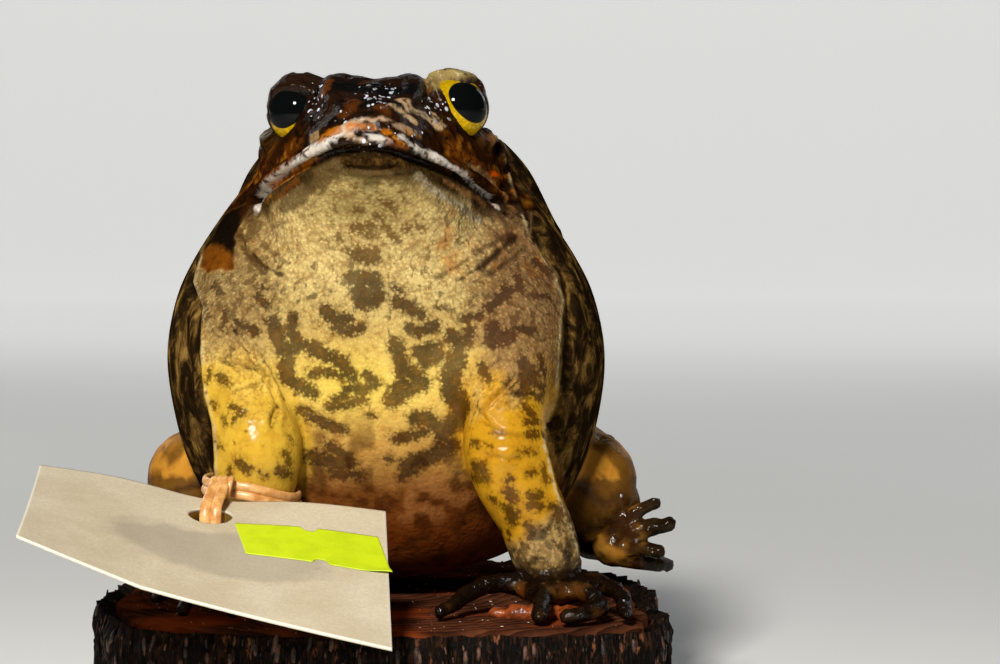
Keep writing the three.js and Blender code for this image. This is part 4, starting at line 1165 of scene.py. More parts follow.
tones = {name: np.array(colour(*rgb)[:3]) for name, rgb in {
    # the near-black neck tone is partly painted shadow beside the neck fold
    "back": (62, 44, 24), "flank": (74, 56, 32), "neck": (20, 14, 8), "throat": (216, 192, 130),
    "throatLow": (200, 178, 118), "chest": (200, 172, 104), "belly": (242, 210, 112),
    # the low belly and underside tones are darker partly as painted shade
    "bellyMid": (208, 164, 86), "bellyYellow": (228, 202, 74), "bellyLow": (124, 76, 34),
    "stain": (66, 33, 12), "flushed": (170, 116, 66), "underside": (114, 58, 20), "shoulder": (170, 142, 92),
    "shoulderLeft": (152, 118, 78), "arm": (216, 176, 60), "armLeft": (206, 154, 34),
    "wrist": (196, 164, 104), "hand": (20, 11, 6), "knuckle": (108, 68, 26), "thigh": (212, 150, 56),
    "shank": (56, 32, 14), "toe": (22, 14, 8), "head": (36, 19, 7), "snout": (11, 9, 8),
    "brown": (48, 24, 9), "black": (8, 6, 5), "rust": (112, 60, 14), "orange": (194, 116, 24),
    "ochre": (176, 118, 34), "ember": (200, 84, 12), "buff": (172, 140, 94), "pale": (192, 164, 128),
    "lipPale": (226, 220, 216), "lipPink": (198, 168, 140), "rustPale": (150, 106, 62),
    # the dark under-lip tone is partly the chin's own colour, partly painted shadow
    # the pale grey tone of the lower lip is a painted sheen
    "underlip": (30, 20, 8), "greyFold": (96, 80, 52), "greyPale": (170, 160, 140),
    # the dark fold tone is painted shade in folds and creases
    "greenGrey": (92, 88, 40), "darkFold": (26, 18, 10), "lidLeft": (156, 138, 90), "lidRight": (40, 24, 12),
    # the pale edge tone is a painted highlight
    "bump": (140, 98, 50), "patch": (122, 70, 17), "edge": (206, 190, 146), "mark": (44, 27, 15),
    "markBand": (50, 31, 20), "markArm": (54, 30, 8), "markWrist": (34, 20, 9), "markThroat": (88, 62, 28),
}.items()}


def cover(base, share, shade):
    return base + (tones[shade] - base) * np.clip(share, 0, 1)[:, None]


def gapTo(place, spot, flip=1):
    return np.linalg.norm(place - [flip * spot[0], spot[1], spot[2]], axis=1)


def limbGap(place, rows, flip):
    # distance from the surface of a limb, and how far along it
    rows = np.array(rows, float)
    d, along = lineDistance(place * [flip, 1, 1], rows[:, :3])
    return d - rowAt(rows, along)[:, 3], along


glints = [  # places of pale varnish beads on the snout, set where glints show, their pale colour a painted highlight: aside, height and radius
    (-7.7, 74, 1.6), (-8.5, 72.4, 1.3), (-2.2, 74.8, 0.8), (0.9, 74.1, 1.6), (2.6, 74.6, 1.2),
    (-0.4, 75, 0.8), (9, 73, 1.2), (9.9, 71.6, 1.3), (0.1, 67.6, 1.2), (3.9, 68.6, 0.6), (7.1, 68.5, 0.6),
    (-3, 70.7, 1.0)]
# the front grows darker and browner towards the bottom: partly the belly's own colour, partly painted shade
frontTones = {  # height and tone, up the front
    0: "underside", 6: "underside", 11: "underside", 17: "bellyLow", 24: "bellyMid", 32: "belly", 40: "chest",
    46: "throatLow", 54: "throat", 62: "throat"}
neckFold = {"heights": [48, 52, 56, 58.5, 62], "aside": [-20.4, -20.9, -20.2, -18.6, -17]}
strokeSpread = {"lipPale": 1.7, "lipPink": 1.6, "orange": 2.2, "rust": 1.5, "ochre": 1.5, "pale": 1.2,
                "underlip": 1.6, "greyFold": 1.2}
markRange = {"none": -1.5, "most": 0.9}
tipSpot = {"share": 0.42, "least": 0.45}
paintEdges = {  # where one thing gives way to the next: from and to, by distance, height or unevenness
    "armOutsideShade": (0.1, 0.6), "flankDown": (60, 30), "leftShoulderOut": (12, 19),
    "leftShoulderUp": (24, 34), "rightShoulderOut": (11, 18), "rightShoulderUp": (31, 40),
    "undersideDown": (20, 8), "undersideOut": (4, 16), "bellyDown": (31, 22), "stains": (0.0, 0.6),
    "flushes": (0.25, 0.8), "flushUp": (10, 15), "orangeSpots": (0.15, 0.9), "orangeOut": (2, 10),
    "orangeUp": (44, 50), "throatUp": (47, 53), "bandOut": (8, 12), "bandUp": (10, 20),
    "specksUp": (36, 46), "specksDown": (38, 28), "specksOut": (10, 20), "chinUp": (-5.2, -1.6),
    "chinAhead": (-3, 3), "wetDown": (30, 10), "upperArmAlong": (0.45, 0.9), "armSkin": (2.4, 0.6),
    "leftArmDown": (36, 28), "rightArmDown": (41, 28), "wristSkin": (2.2, 0.6), "wristDown": (13.5, 10),
    "wristBlots": (0.0, 0.5), "armSpecksUp": (24, 34), "heelSkin": (2.5, 1.0), "heelDown": (7.4, 5.6),
    "handSkin": (1.6, 0.7), "handDown": (8.6, 7.0), "knuckles": (0.15, 0.9), "thighSkin": (2.0, 0.4),
    "thighAlong": (0.2, 0.6), "thighStripes": (0.2, 0.9), "shankSkin": (1.8, 0.5), "footSkin": (1.8, 0.7),
    "footSpots": (0.1, 0.9), "toesOut": (37.5, 40.5), "mouthUp": (-0.6, 0.3), "mouthAhead": (-5, -1),
    "napeBack": (4, -8), "napeUp": (52, 58), "cheekOut": (8, 12), "cheekAhead": (-3, 1),
    "cheekRust": (-0.5, 0.5), "cheekOchre": (0.2, 0.9), "crownOut": (7, 11), "crownDown": (10, 6),
    "lidSkin": (7.2, 6.6), "lidUp": (1.6, 2.8), "neckFold": (-0.2, 0.7), "patchUp": (48.2, 49),
    "patchOut": (-27.5, -26), "patchSpots": (0.1, 0.8), "neckUp": (51, 52.6), "creaseLine": (0.5, 0.1),
    "veinGaps": (-0.2, 0.5), "cracksOut": (11, 15), "crackLine": (0.1, 0.03), "crackGaps": (-0.4, 0.4),
    "rimGlintLine": (0.24, 0.08), "rimGlintGaps": (-0.7, 0.2), "footBeadsOut": (34, 36),
    "footBeadsBack": (-20, -16), "grainsUp": (24, 34),
}


def fade(value, name):
    # 0 to 1 over the two values that stand under this name
    return eased(value, *paintEdges[name])


def paintSkin(mesh, co, tops, lines):
    place = co - [0, 0, logTop]
    x, y, z = place.T
    a, b, c = headPlace(co)
    broad, middle, small = fieldNoise(co, 7, 41), fieldNoise(co, 3, 42), fieldNoise(co, 1.1, 43)
    behind = backness(co)
    # side: skin beyond each arm's outer edge line, which takes the flanks' dark colours; on the arm's own
    # outer side that is painted shade
    side = np.zeros(len(co))
    for flip, edges in ((1, lines["edges"][:2]), (-1, lines["edges"][2:3])):
        line = np.array(sorted((q for edge, in edges for q in edge), key=lambda q: q[2]))
        out = x * flip - np.interp(z, line[:, 2], line[:, 0] * flip)
        side = np.maximum(side, fade(out + 0.15 * small, "armOutsideShade"))
    front = (1 - behind) * (1 - side)
    tone = np.tile(tones["back"], (len(co), 1))
    markTone = np.tile(tones["mark"], (len(co), 1))

    def lay(share, shade):
        tone[:] = cover(tone, share, shade)

    def layMark(share, shade):
        markTone[:] = cover(markTone, share, shade)

    # back and flanks, then the pale front from throat to belly
    lay(fade(z, "flankDown") * 0.8, "flank")
    upFront = np.stack([np.interp(z, list(frontTones), values)
                        for values in np.array([tones[name] for name in frontTones.values()]).T], axis=1)
    tone += (upFront - tone) * front[:, None]
    lay(front * fade(x + middle, "leftShoulderOut") * fade(z, "leftShoulderUp") * 0.9, "shoulderLeft")
    lay(front * fade(-x + middle, "rightShoulderOut") * fade(z, "rightShoulderUp") * 0.85, "shoulder")
    # darker low down and away from the middle: partly its own colour, partly painted shade
    lay(front * fade(z, "undersideDown") * fade(np.abs(x), "undersideOut") * 0.5, "underside")
    lay(front * hump(np.hypot((x + 3.5) / 7, (z - 33) / 4.5), 1.0) * 0.5, "bellyYellow")
    low = front * fade(z, "bellyDown")
    stained = fieldNoise(co * [1, 1, 0.75], 2.4, 45)
    lay(low * fade(stained + 0.5 * small + 0.4 * broad, "stains") * 0.7, "stain")
    lay(low * fade(-stained - 0.4 * small + 0.5 * broad, "flushes") * fade(z, "flushUp") * 0.5, "flushed")
    spotted = fade(middle + 0.5 * small, "orangeSpots") * fade(x, "orangeOut") * fade(z, "orangeUp")
    lay(front * spotted * 0.5, "orange")
    mark = np.full(len(co), markRange["none"])
    layMark(fade(z, "throatUp"), "markThroat")
    layMark(fade(x, "bandOut") * fade(z, "bandUp"), "markBand")
    speck = front * (0.46 + 0.3 * fade(z, "specksUp") - 0.1 * fade(z, "specksDown") * (np.abs(x) < 12)
                     + 0.3 * fade(np.abs(x), "specksOut"))
    # dark chin under the lip: partly its own colour, partly painted shadow of the overhanging lip
    lay(front * fade(c + 0.8 * small + 1.1 * middle, "chinUp") * fade(a, "chinAhead") * 0.97, "underlip")
    lay(front * hump(np.hypot(x / 9, (z - 58) / 3.4) + 0.3 * middle, 0.9) * 0.5, "greenGrey")
    wet = 0.12 + 0.3 * fade(z, "wetDown") * front + 0.1 * (1 - front)

    # arms and hands
    for flip in (1, -1):
        gapUp, alongUp = limbGap(place, arms["upper"], flip)
        gapLow, _ = limbGap(place, arms[flip], flip)
        gap = np.minimum(gapUp + 2.5 * (1 - fade(alongUp, "upperArmAlong")), gapLow)
        skinOfArm = (fade(gap + 0.4 * small, "armSkin") * (1 - side) * (1 - 0.8 * behind)
                     * fade(z + 3 * middle + small, "leftArmDown" if flip > 0 else "rightArmDown"))
        lay(skinOfArm, "armLeft" if flip > 0 else "arm")
        nearWrist = fade(gapLow, "wristSkin")
        nearWrist = nearWrist * fade(z + 1.2 * middle - (x * flip - 23) * 0.7, "wristDown")
        lay(nearWrist, "wrist")
        blot = fieldNoise(co * [1, 1, 0.8], 1.5, 46) + 0.5 * small
        lay(nearWrist * fade(blot, "wristBlots") * 0.8, "markWrist")
        wet = np.maximum(wet, 0.8 * skinOfArm)
        speckled = 0.26 + 0.1 * (flip > 0) + 0.24 * fade(z, "armSpecksUp") + 0.14 * middle
        speck = speck * (1 - skinOfArm) + speckled * skinOfArm
        layMark(skinOfArm, "markArm")
        layMark(nearWrist, "markWrist")
        speck = np.maximum(speck, 0.95 * nearWrist)
        gapHand = np.min([limbGap(place, rows, flip)[0] for rows in fingers[flip]], axis=0)
        heel = fade(gapLow, "heelSkin") * fade(z + 0.8 * small, "heelDown")
        hand = np.maximum(fade(gapHand, "handSkin"), heel) * fade(z, "handDown") * (y < -10)
        lay(hand, "hand")
        lay(hand * fade(middle + 0.6 * small, "knuckles") * 0.6, "knuckle")
        wet = np.maximum(wet, hand)
        speck = speck * (1 - hand)

        # hind legs
        gapThigh, alongThigh = limbGap(place, legs["thigh"], flip)
        gapShank, _ = limbGap(place, legs["shank"], flip)
        footRows = [legs["tarsus"], *legs["toes"]]
        gapFoot = np.min([limbGap(place, rows, flip)[0] for rows in footRows], axis=0)
        thigh = fade(gapThigh, "thighSkin") * fade(alongThigh, "thighAlong")
        lay(thigh, "thigh")
        lay(thigh * fade(np.sin(z * 0.8 + x * flip * 0.5 + 2 * middle), "thighStripes") * 0.7, "shank")
        shank = fade(gapShank, "shankSkin") * (z < 16)
        lay(shank * 0.75, "shank")
        foot = fade(gapFoot, "footSkin") * (z < 14)
        lay(foot * 0.9, "shank")
        lay(foot * fade(middle + small, "footSpots") * 0.7, "thigh")
        lay(foot * fade(x * flip, "toesOut"), "toe")
        wet = np.maximum(wet, 0.7 * np.maximum(thigh, foot))
        plain = 1 - np.max([0.9 * thigh, 0.9 * foot, skinOfArm, hand], axis=0)
        behind, side = behind * plain, side * plain

    # head above the mouth, lids, and what hangs over the flanks
    upper = fade(c + 0.3 * small, "mouthUp") * fade(a, "mouthAhead")
    lay(upper, "head")
    lay(fade(a, "napeBack") * fade(z, "napeUp") * behind, "back")
    cheek = upper * hump(c - 3.6, 2.6) * fade(np.abs(b), "cheekOut") * fade(a, "cheekAhead")
    lay(cheek * fade(middle + 0.7 * small, "cheekRust") * 0.85, "rust")
    lay(cheek * fade(small + middle, "cheekOchre") * 0.6, "ochre")
    wet = np.maximum(wet, (0.95 - 0.75 * fade(np.abs(b), "crownOut") * fade(c, "crownDown")) * upper)
    speck = speck * (1 - upper)
    for flip in (1, -1):
        away = co - eyeCentre(flip)
        over = away @ upward - 0.5 * away[:, 0] * flip + 0.3 * small
        lid = fade(np.linalg.norm(away, axis=1), "lidSkin") * fade(over, "lidUp")
        lay(lid, "lidLeft" if flip > 0 else "lidRight")
        lay(0.8 * hump(gapTo(place, swellings["behindEye"], flip), 2.6), "bump" if flip > 0 else "greyFold")
    fold = np.interp(z, neckFold["heights"], neckFold["aside"])
    beside = fade(fold - x + 0.3 * middle + 0.3 * small, "neckFold") * (y < 8) * (1 - upper)
    rusty = beside * fade(z + 0.9 * middle + 0.4 * small, "patchUp") * fade(x, "patchOut")
    lay(rusty, "patch")
    lay(rusty * fade(middle + small, "patchSpots") * 0.5, "brown")
    # near black beside the neck fold: partly the skin's own dark, partly painted shadow of the fold
    lay(beside * fade(z + 1.6 * middle + 0.5 * small, "neckUp"), "neck")
    mark, speck = np.where(rusty > 0.4, markRange["none"], mark), speck * (1 - rusty)

    # lines read off the photograph
    # painted shade: each crease is darkened along its line
    for width, depth, line in lines["creases"]:
        d, _ = lineDistance(place, line)
        lay(min(0.95, 1.3 * depth) * fade(d + 0.2 * small, "creaseLine"), "darkFold")
    flecks = fieldNoise(co, 0.6, 44)
    veins = np.abs(fieldNoise(co * [0.55, 1, 1.2], 1.3, 51))
    mark = np.where(upper > 0.5, 0.62 - 4.2 * veins - 0.6 * fade(middle, "veinGaps"), mark)
    layMark(upper, "black")
    for shade, width, strength, line in lines["strokes"]:
        d, _ = lineDistance(place, line)
        width = width * strokeSpread.get(shade, 1.0)
        edge = d + min(0.42, width * 0.3) * (small + middle) + 0.18 * flecks
        soft = max(0.12, width * 0.15)
        lay(strength * eased(edge, width * 0.5 + soft, width * 0.5 - soft), shade)
    crack = upper * (1 - 0.6 * fade(np.abs(b), "cracksOut")) * hump(c - 1.6, 1.7)
    crack = crack * fade(np.abs(fieldNoise(co * [1.3, 1, 0.7], 0.9, 52)), "crackLine")
    lay(crack * fade(middle + broad, "crackGaps"), "black")
    # painted highlight: a thin pale line along each arm's outer edge and beside the neck, broken in places
    for line, in lines["edges"]:
        d, _ = seenGap(place, line)
        lay(fade(d + 0.06 * small, "rimGlintLine") * fade(broad + middle, "rimGlintGaps"), "edge")
    for width, strength, line in lines["marks"]:
        near = np.abs(place - np.mean(line, axis=0)).max(axis=1) < 12
        d, _ = lineDistance(place[near], line)
        field = (width * 0.6 + 0.26 - d) * 0.85 + (strength - 1) * 0.6
        mark[near] = np.maximum(mark[near], field)
    mark = np.clip(mark, markRange["none"], markRange["most"])

    # what the material and the strewn grains read from the skin
    giveColours(mesh, "tone", np.hstack([tone, np.ones((len(co), 1))]))
    giveColours(mesh, "markTone", np.hstack([markTone, np.ones((len(co), 1))]))
    beads = np.max([hump(np.hypot(x - bx, z - bz), r) for bx, bz, r in glints], axis=0)
    tips = np.zeros(len(co))
    for spot, size in tops:
        near = np.abs(co - spot).max(axis=1) < size
        width = max(tipSpot["share"] * size, tipSpot["least"])
        tips[near] = np.maximum(tips[near], np.linalg.norm(co[near] - spot, axis=1) < width)
    # behind: back and flanks, and with them each arm's outer side, where it stands for painted shade
    for name, values in {
        "mark": mark, "speck": speck, "wet": wet, "behind": np.maximum(behind, side) * (1 - upper),
        # beads and footBeads: where the pale varnish beads go, whose pale colour is a painted highlight
        "beads": beads * (upper > 0.5) * (y < -4),
        "footBeads": fade(x, "footBeadsOut") * fade(-y, "footBeadsBack") * (z < 13) * (z > 3),
        "tips": tips, "grained": front * (1 - upper) * fade(z, "grainsUp"),
    }.items():
        giveNumbers(mesh, name, values)


def skinMaterial():
    startMaterial("toadSkin")
    tone, markTone = carried("tone", "Color"), carried("markTone", "Color")
    numbers = ("mark", "speck", "wet", "behind", "grained")
    mark, speck, wet, behind, grained = [carried(name) for name in numbers]
    fine, small, broad = cloud(0.5, 4.0, 0.7), cloud(1.6, 4.0, 0.6, 0.2), cloud(6.0)
    gap = cells(0.6, Randomness=0.95, Smoothness=0.3)
    # patchy light and dark of the skin itself
    shade = mixed(1.0, tone, mixed(broad, colour(204, 194, 176), colour(255, 255, 250)), "MULTIPLY")
    shade = mixed(between(small, 0.40, 0.72, 0.0, 0.35), shade,
                  mixed(1.0, shade, colour(196, 150, 100), "MULTIPLY"))
    # marks broken up into grains, pale on the granules' tops
    grit = (fine - 0.5) * 1.9 + (gap - 0.36) * 0.8
    wander = (small - 0.5) * 1.3
    heart = between(mark + grit + wander, -0.35, 0.6) * between(broad + fine * 0.4, 0.62, 0.95, 1.0, 0.88)
    halo = between(mark + grit * 0.5 + wander, -0.8, 0.3, 0.0, 0.32)
    specks = between(speck - 0.62 + (grit + wander), 0.0, 0.7, 0.0, 0.5)
    mottle = cloud(1.15, 3.0, 0.6, 0.15, (1.0, 1.0, 0.75)) + speck * 0.26 + grit * 0.05
    mottle = between(mottle, 0.70, 0.88, 0.0, 0.8) * between(speck, 0.05, 0.3)
    marks = maths("MAXIMUM", maths("MAXIMUM", heart, halo), maths("MAXIMUM", specks, mottle))
    markTone = mixed(between(small, 0.46, 0.7, 0.0, 0.45), markTone,
                     mixed(1.0, tone, colour(136, 106, 82), "MULTIPLY"))
    shade = mixed(marks * 0.9, shade, markTone)
    top = between(gap, 0.12, 0.34, 0.5, 0.0)
    shade = mixed(top * grained, shade, mixed(1.0, shade, colour(255, 250, 232), "SOFT_LIGHT"))
    # streaks and blots of the back and flanks, laid also on each arm's outer side as painted shade
    back = shades(cloud(3.6, 5.0, 0.62, 0.5, (1.0, 1.0, 0.8)), (0.38, 8, 5, 3), (0.48, 34, 24, 11),
                  (0.56, 92, 66, 30), (0.64, 146, 114, 56), (0.8, 168, 136, 74))
    spotted = between(cells(4.6) + wander * -0.22, 0.3, 0.2)
    back = mixed(spotted * 0.8, back, colour(16, 10, 6))
    shade = mixed(behind * 0.8, shade, back)
    # granules and wrinkles of dry skin, and lumps under wet varnish
    dry = 1.0 - wet * 0.85
    bump = raised((1.0 - gap) * dry, 0.12)
    bump = raised(cloud(0.9, 4.0, 0.6, 0.3, (0.55, 0.55, 1.5)) * dry, 0.13, bump)
    bump = raised(fine * dry, 0.04, bump)
    bump = raised(cloud(0.9, 3.0, 0.6, 0.3) * between(wet, 0.82, 0.95, 0.18, 0.95), 0.34, bump)
    return finished(
        Base_Color=shade, Normal=bump, Coat_Normal=bump, Specular_IOR_Level=0.0,
        Roughness=maths("ADD", 0.62 - wet * 0.46, (small - 0.5) * 0.2, clamp=True),
        Coat_Weight=between(wet, 0.45, 0.95, 0.0, 0.36), Coat_Roughness=0.07)


def makeSkin():
    body, mesh = fused("toadSkin", skinShapes(), skin["voxel"])
    edges = edgesOf(mesh)
    co = relax(pointsOf(mesh), edges, evenOut * skin["relaxRounds"])
    # chest, throat and shoulders flow into each other
    a, b, c = headPlace(co)
    y, z = co[:, 1], co[:, 2] - logTop
    soft = (eased(z, 25, 31) * (1 - eased(z, 52, 58)) * (1 - eased(c, -4, -1.5))
            * (1 - eased(np.abs(co[:, 0]), 29, 33)) * (1 - eased(y, 2, 12)))
    nape = eased(y, 8, 13) * eased(z, 58, 63) * (1 - eased(np.abs(co[:, 0]), 15, 19))
    soft = np.maximum(soft, nape)
    co = relax(co, edges, [soft[:, None] * 0.5] * skin["chestRounds"])
    setPoints(mesh, co)
    co = shapeHead(co, normalsOf(mesh))
    co = openEyes(co)
    setPoints(mesh, co)
    lines = readOff(body)
    co = pressCreases(co, normalsOf(mesh), lines)
    setPoints(mesh, co)
    co, tops = raiseWarts(co, normalsOf(mesh))
    setPoints(mesh, co)
    # fewer triangles where the skin is seldom seen
    coarse = body.vertex_groups.new(name="coarse")
    a, b, c = headPlace(co)
    behind = eased(co[:, 1], -6, 16) * (1 - 0.6 * eased(a, -8, 2))
    under = 1 - eased(co[:, 2] - logTop, 2, 9) * eased(-co[:, 1], -30, -10)
    hidden = np.maximum(behind, under) * 0.9
    levels = skin["coarseLevels"]
    for level in range(1, levels + 1):
        picked = np.flatnonzero(np.round(hidden * levels) == level)
        coarse.add(picked.tolist(), level / levels, "REPLACE")
    decimate = body.modifiers.new("decimate", "DECIMATE")
    decimate.vertex_group = "coarse"
    mesh.calc_loop_triangles()
    decimate.ratio = min(1.0, skin["triangles"] / len(mesh.loop_triangles))
    mesh = evaluatedMesh(body)
    paintSkin(mesh, pointsOf(mesh), tops, lines)
    setPoints(mesh, pointsOf(mesh) * mm)
    mesh.calc_loop_triangles()
    print("skin", len(mesh.vertices), "points", len(mesh.loop_triangles), "triangles", len(tops), "warts")
    return body


body = makeSkin()
limbParts = ("upper_arm", "forearm", "hand", "thigh", "shank", "foot")
limbNodes = [f"{part}_{side}" for side in ("left", "right") for part in limbParts]
dress(body, skinMaterial(), "belly_skin", "head", "lower_jaw", "chest", "abdomen", *limbNodes)

beadGrain = {"perSquareMetre": 9e5, "smallest": 0.00010, "largest": 0.00034, "long": 1.3, "thick": 0.4,
             "crumpled": 0.12, "roundness": 2, "upright": False, "seed": 4}
tipGrain = {"perSquareMetre": 1.5e6, "smallest": 0.00009, "largest": 0.00017, "long": 1.0, "thick": 1.5,
            "crumpled": 0.3, "roundness": 1, "upright": False, "seed": 9}


def grainMaterial(name, first, second, rough):
    startMaterial(name)
    patch = cloud(1.3)
    return finished(
        Base_Color=mixed(between(patch, 0.4, 0.6), first, second),
        Roughness=between(patch, 0.3, 0.7, rough, rough + 0.08),
        Coat_Weight=1.0 if rough < 0.1 else 0.0, Coat_Roughness=0.04)


# the beads' near-white varnish is a painted highlight: they show as glints under any light
varnish = grainMaterial("varnish", colour(206, 212, 226), colour(120, 118, 122), 0.05)
horn = grainMaterial("horn", colour(52, 34, 18), colour(16, 10, 6), 0.4)
footGrain = {**beadGrain, "perSquareMetre": 8e4}
dress(strew("snoutBeads", body, "beads", beadGrain, varnish), varnish, "crown_skin", "head")
dress(strew("footBeads", body, "footBeads", footGrain, varnish), varnish, "hind_skin", "foot_left")
dress(strew("wartTips", body, "tips", tipGrain, horn), horn, "back_skin", "abdomen", "head")


# glass eyes

eyeball = {
    "bulge": 0.15,
    "bulgeWidth": 42,
    "pupil": (0.735, 0.565),
    "pupilTilt": 138,
    "pupilShift": {1: (0, 0), -1: (-0.02, 0.09)},
    "irisShade": colour(226, 186, 6),
    "irisEdge": colour(96, 62, 4),
    "pupilShade": colour(6, 8, 8),
}


def eyeMaterial():
    startMaterial("glassEye")
    fromPupil = carried("fromPupil")
    aside, _, height = [nodeValue(socket) for socket in node("SeparateXYZ", Vector=making["place"]).outputs]
    iris = mixed(between(cloud(1.1, 4.0), 0.35, 0.75), eyeball["irisShade"], colour(196, 154, 2))
    iris = mixed(between(fromPupil, 1.35, 1.8), iris, eyeball["irisEdge"])
    iris = mixed(between(cells(0.45), 0.34, 0.5, 0.0, 0.35), iris, colour(120, 80, 4))
    # painted shade: both irises turn olive towards their tops
    iris = mixed(between(height, 0.0895, 0.0935, 0.0, 0.6), iris, colour(128, 104, 6))
    # the right eye's upper part lies in the shade of its brow
    shaded = between(height, 0.0894, 0.0908) * between(aside, 0.0, -0.001)
    iris = mixed(shaded, iris, colour(20, 16, 5))
    return finished(Base_Color=mixed(between(fromPupil, 0.985, 1.015), eyeball["pupilShade"], iris),
                    Roughness=0.05, Specular_IOR_Level=0.1)


def makeEye(flip, name, rings=64, sides=96):
    gaze, outward, up = eyeFrame(flip)
    turn = fullTurn(sides)[:, None]
    tilt = math.radians(eyeball["pupilTilt"])
    long, short = eyeball["pupil"]
    across, rise = eyeball["pupilShift"][flip]
    circles, away = [], [0.0]
    for lean in np.linspace(0, math.pi, rings + 1)[1:-1]:
        reach = eyes["radius"] + eyeball["bulge"] * hump(math.degrees(lean), eyeball["bulgeWidth"])
        circles.append(eyeCentre(flip) + reach * (math.cos(lean) * gaze
                       + math.sin(lean) * (np.cos(turn) * outward + np.sin(turn) * up)))
        off = math.sin(lean) if lean < math.pi / 2 else 2 - math.sin(lean)
        outwards, upwards = off * np.cos(turn) - across, off * np.sin(turn) - rise
        away += np.hypot((outwards * math.cos(tilt) + upwards * math.sin(tilt)) / long,
                         (upwards * math.cos(tilt) - outwards * math.sin(tilt)) / short).ravel().tolist()
    points, faces = loft(np.array(circles), eyeCentre(flip) + gaze * (eyes["radius"] + eyeball["bulge"]),
                         eyeCentre(flip) - gaze * eyes["radius"])
    if np.dot(np.cross(outward, up), gaze) > 0:
        faces = [face[::-1] for face in faces]
    piece = newObject(name, points, faces)
    giveNumbers(piece.data, "fromPupil", away + [4.0])
    return piece


glassEye = eyeMaterial()
for flip, side in ((1, "left"), (-1, "right")):
    dress(makeEye(flip, f"glassEye_{side}"), glassEye, "eye", f"eye_{side}")
print("eyes ready")


# log

log = {
    "rim": [  # turn in degrees, and reach
        (0, 41), (30, 42), (60, 43.5), (90, 44.5), (120, 43.5), (150, 42), (180, 41.5), (200, 43.5),
        (232, 48.5), (262, 44.8), (288, 44.5), (308, 50), (320, 54), (332, 48.5), (346, 42.5), (360, 41)],
    "meanRadius": 44,
    "barkThickness": 3.4,
    "furrow": 1.15,
    "barkColumns": 620,
    "barkRows": 46,
    "woodColumns": 240,
    "woodRings": 90,
}


def rimAt(turn, inset=0.0):
    angles, radii = np.array(log["rim"], float).T
    degrees = np.degrees(turn) % 360
    i = np.clip(np.searchsorted(angles, degrees, side="right") - 1, 0, len(angles) - 2)
    f = (degrees - angles[i]) / (angles[i + 1] - angles[i])
    return radii[i] + (radii[i + 1] - radii[i]) * f * f * (3 - 2 * f) - inset


def around(reach, turn, height):
    # points at a reach and a turn from the log's middle
    return np.stack(np.broadcast_arrays(reach * np.cos(turn), reach * np.sin(turn), height), axis=-1)


def barkNoise(turn, height, across, tall, seed):
    place = around(log["meanRadius"], turn, height) / [across, across, tall]
    return fieldNoise(place.reshape(-1, 3), 1.0, seed).reshape(turn.shape)


def barkOut(turn, height):
    # how far the bark stands out from the rim: upright ridges, broken across
    ridges = 1 - np.abs(barkNoise(turn, height, 2.3, 9.0, 1)) * 2.2
    fine = 1 - np.abs(barkNoise(turn, height, 0.85, 3.2, 2)) * 2
    broad, grit = barkNoise(turn, height, 5.5, 16.0, 3), barkNoise(turn, height, 0.5, 0.9, 4)
    return log["furrow"] * (0.62 * ridges + 0.3 * fine + 0.35 * broad) + 0.16 * grit - 0.35


def makeBark():
    turn, rise = np.meshgrid(fullTurn(log["barkColumns"]), np.linspace(0, 1, log["barkRows"] + 1))
    height = 0.25 + rise * (logTop - 0.55)
    out = np.clip(barkOut(turn, height), -2.2, 0.75)
    broken = barkNoise(turn, 0, 2.6, 2.6, 12) + 0.6 * barkNoise(turn, 0, 0.9, 0.9, 13)
    edge = eased(rise, 0.86, 1.0) * np.clip(0.6 + 0.45 * broken, 0.2, 1.2)
    wavy = log["meanRadius"] / 24
    top = height + eased(rise, 0.7, 1) * 0.3 * barkNoise(turn, 0, wavy, wavy, 8)
    outer = around(rimAt(turn) + out - edge, turn, np.maximum(top, 0.2))
    low = np.maximum(0.2, np.minimum(height, logTop - 1.2))
    inner = around(rimAt(turn, log["barkThickness"] - 0.05), turn, low)[::6]
    return looped(np.concatenate([outer, inner[::-1]]))


def makeWood():
    # the slice itself, from its underside up and over its top to the middle
    turn = fullTurn(log["woodColumns"])
    reach = rimAt(turn, log["barkThickness"] + 0.02)
    sideRings = [(0.3, 0), (0.7, 0), (0.97, 0), (1, 0.5), (1, 7), (1, 13), (1, logTop - 0.7)]
    rings = [around(reach * share, turn, height) for share, height in sideRings]
    for share in np.linspace(0.995, 0.02, log["woodRings"]):
        flat = around(reach * share, turn, logTop)
        worn = 0.16 * np.maximum(0, fieldNoise(flat, 7, 21)) + 0.10 * np.maximum(0, fieldNoise(flat, 1.6, 22))
        crack = hump(np.sin(turn * 3.5 + 0.6) * log["meanRadius"] * share, 0.5)
        flat[:, 2] -= worn + 0.5 * crack * eased(share, 0.25, 0.7) + 0.5 * eased(share, 0.965, 1.0)
        rings.append(flat)
    return loft(np.array(rings), (0, 0, 0), (0, 0, logTop - 0.05))


